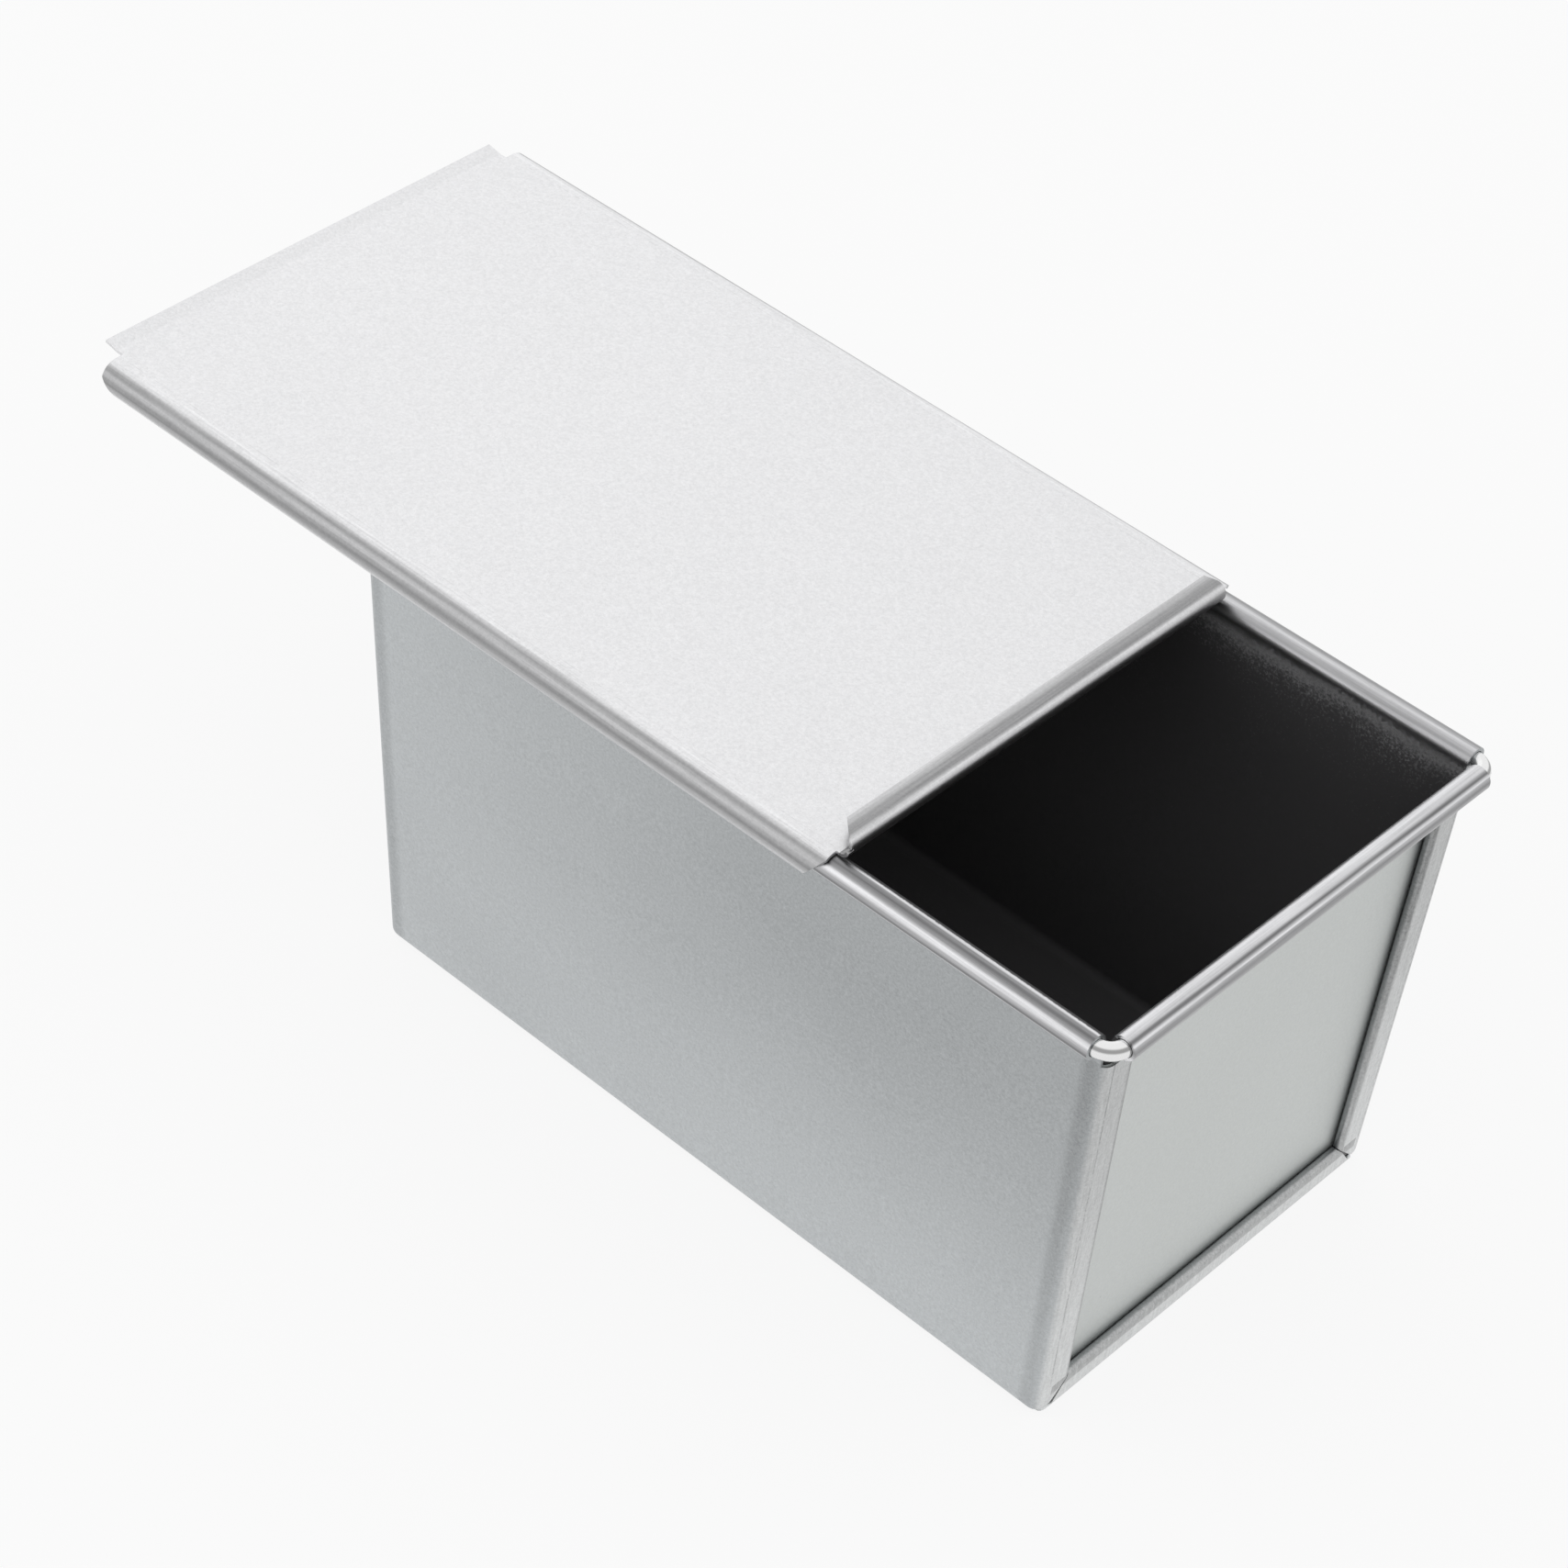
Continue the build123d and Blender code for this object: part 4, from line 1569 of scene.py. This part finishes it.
@dataclass
class Studio:
    """Camera, lamps, floor and background."""

    camera_at: Vector = field(default_factory=lambda: Vector((402.12, -512.47, 656.97)) * MM)
    look_at: Vector = field(default_factory=lambda: Vector((-22.32, -7.85, 64.30)) * MM)
    roll: float = 4.95
    lens: float = 99.0
    floor_half: float = 6.0
    floor_colour: Tone = (0.8, 0.8, 0.8, 1.0)
    floor_white: float = 0.85
    fill_level: float = 0.9

    def build(self) -> None:
        """Make everything that isn't the pan."""
        bpy.context.scene.view_settings.view_transform = "Standard"
        self.stand_camera()
        self.light_world()
        self.lay_floor()
        self.hang_lamp("back_light", at=Vector((-1.3, 0.9, 1.1)), width=1.1, power=0.5)
        self.hang_lamp("left_fill", at=Vector((-0.7, -1.2, 0.9)), width=0.9, power=1.2)

    def stand_camera(self) -> None:
        """Stand the camera where the photograph was taken from."""
        data = bpy.data.cameras.new("camera")
        data.sensor_width = 36.0
        data.lens = self.lens
        data.clip_start = 10 * MM
        camera = bpy.data.objects.new("camera", data)
        turn = (self.look_at - self.camera_at).to_track_quat("-Z", "Y").to_matrix().to_4x4()
        rolled = turn @ Matrix.Rotation(math.radians(self.roll), 4, "Z")
        camera.matrix_world = Matrix.Translation(self.camera_at) @ rolled
        bpy.context.scene.collection.objects.link(camera)
        bpy.context.scene.camera = camera

    def light_world(self) -> None:
        """White to the eye and in reflections, and a softer level as light."""
        world = bpy.data.worlds.new("studio")
        bpy.context.scene.world = world
        world.use_nodes = True
        graph = Graph(world.node_tree)
        strength = graph.ramp(graph.seen(), 0.0, 1.0, self.fill_level, 1.0, smooth=False)
        light = graph.feed(graph.add("ShaderNodeBackground"), Color=WHITE, Strength=strength)
        graph.put(light.outputs[0], graph.add("ShaderNodeOutputWorld").inputs["Surface"])

    def lay_floor(self) -> None:
        """A plain pale floor that keeps a soft shadow."""
        shape = bmesh.new()
        bmesh.ops.create_grid(shape, x_segments=1, y_segments=1, size=self.floor_half)
        mesh = bpy.data.meshes.new("floor")
        shape.to_mesh(mesh)
        shape.free()
        floor = bpy.data.objects.new("floor", mesh)
        bpy.context.scene.collection.objects.link(floor)
        material, graph = new_material("pale_floor")
        lit = graph.feed(graph.add("ShaderNodeBsdfDiffuse"), Color=self.floor_colour)
        white = graph.feed(graph.add("ShaderNodeEmission"), Color=WHITE, Strength=1.0)
        blend = graph.add("ShaderNodeMixShader")
        graph.put(graph.times(graph.seen(), self.floor_white), blend.inputs[0])
        graph.put(lit.outputs[0], blend.inputs[1])
        graph.put(white.outputs[0], blend.inputs[2])
        graph.put(blend.outputs[0], graph.add("ShaderNodeOutputMaterial").inputs["Surface"])
        mesh.materials.append(material)

    @staticmethod
    def hang_lamp(name: str, at: Vector, width: float, power: float) -> None:
        """Add a square soft lamp aimed at the pan.

        Args:
            name: The lamp's name.
            at: Where it hangs.
            width: Its side.
            power: Its power in watts.
        """
        data = bpy.data.lights.new(name, "AREA")
        data.size = width
        data.energy = power
        lamp = bpy.data.objects.new(name, data)
        lamp.location = at
        lamp.rotation_euler = (LAMP_TARGET - at).to_track_quat("-Z", "Y").to_euler()
        bpy.context.scene.collection.objects.link(lamp)


def main() -> None:
    """Build the studio and every piece of the pan."""
    logging.basicConfig(level=logging.INFO, format="%(name)s: %(message)s")
    Studio().build()
    effects = Effects()
    wall = WallFinish().build(effects)
    panel = PanelFinish().build(effects)
    long_coat = CoatedFinish(
        "coated_long", Run.ALONG, limits=(73.0, -38.0), fades=(4.0, 34.0), bands=(LEFT_BEAD_REFLECTION_AND_WEAR, RIGHT_BEAD_REFLECTION_AND_WEAR)
    ).build(effects)
    end_coat = CoatedFinish(
        "coated_end", Run.ACROSS, limits=(34.0, 34.0), fades=(6.0, 6.0), bands=(END_BEAD_REFLECTION_AND_WEAR, END_BEAD_REFLECTION_AND_WEAR)
    ).build(effects)
    BodySheet().build([wall, long_coat])
    EndPanel().build("near_end_wall", "near_end_panel", 1, [end_coat, panel])
    EndPanel().build("far_end_wall", "far_end_panel", -1, [end_coat, panel])
    RimWire().build(WireFinish().build(effects))
    SlidingLid().build(LidFinish().build(effects))


if __name__ == "__main__":
    main()
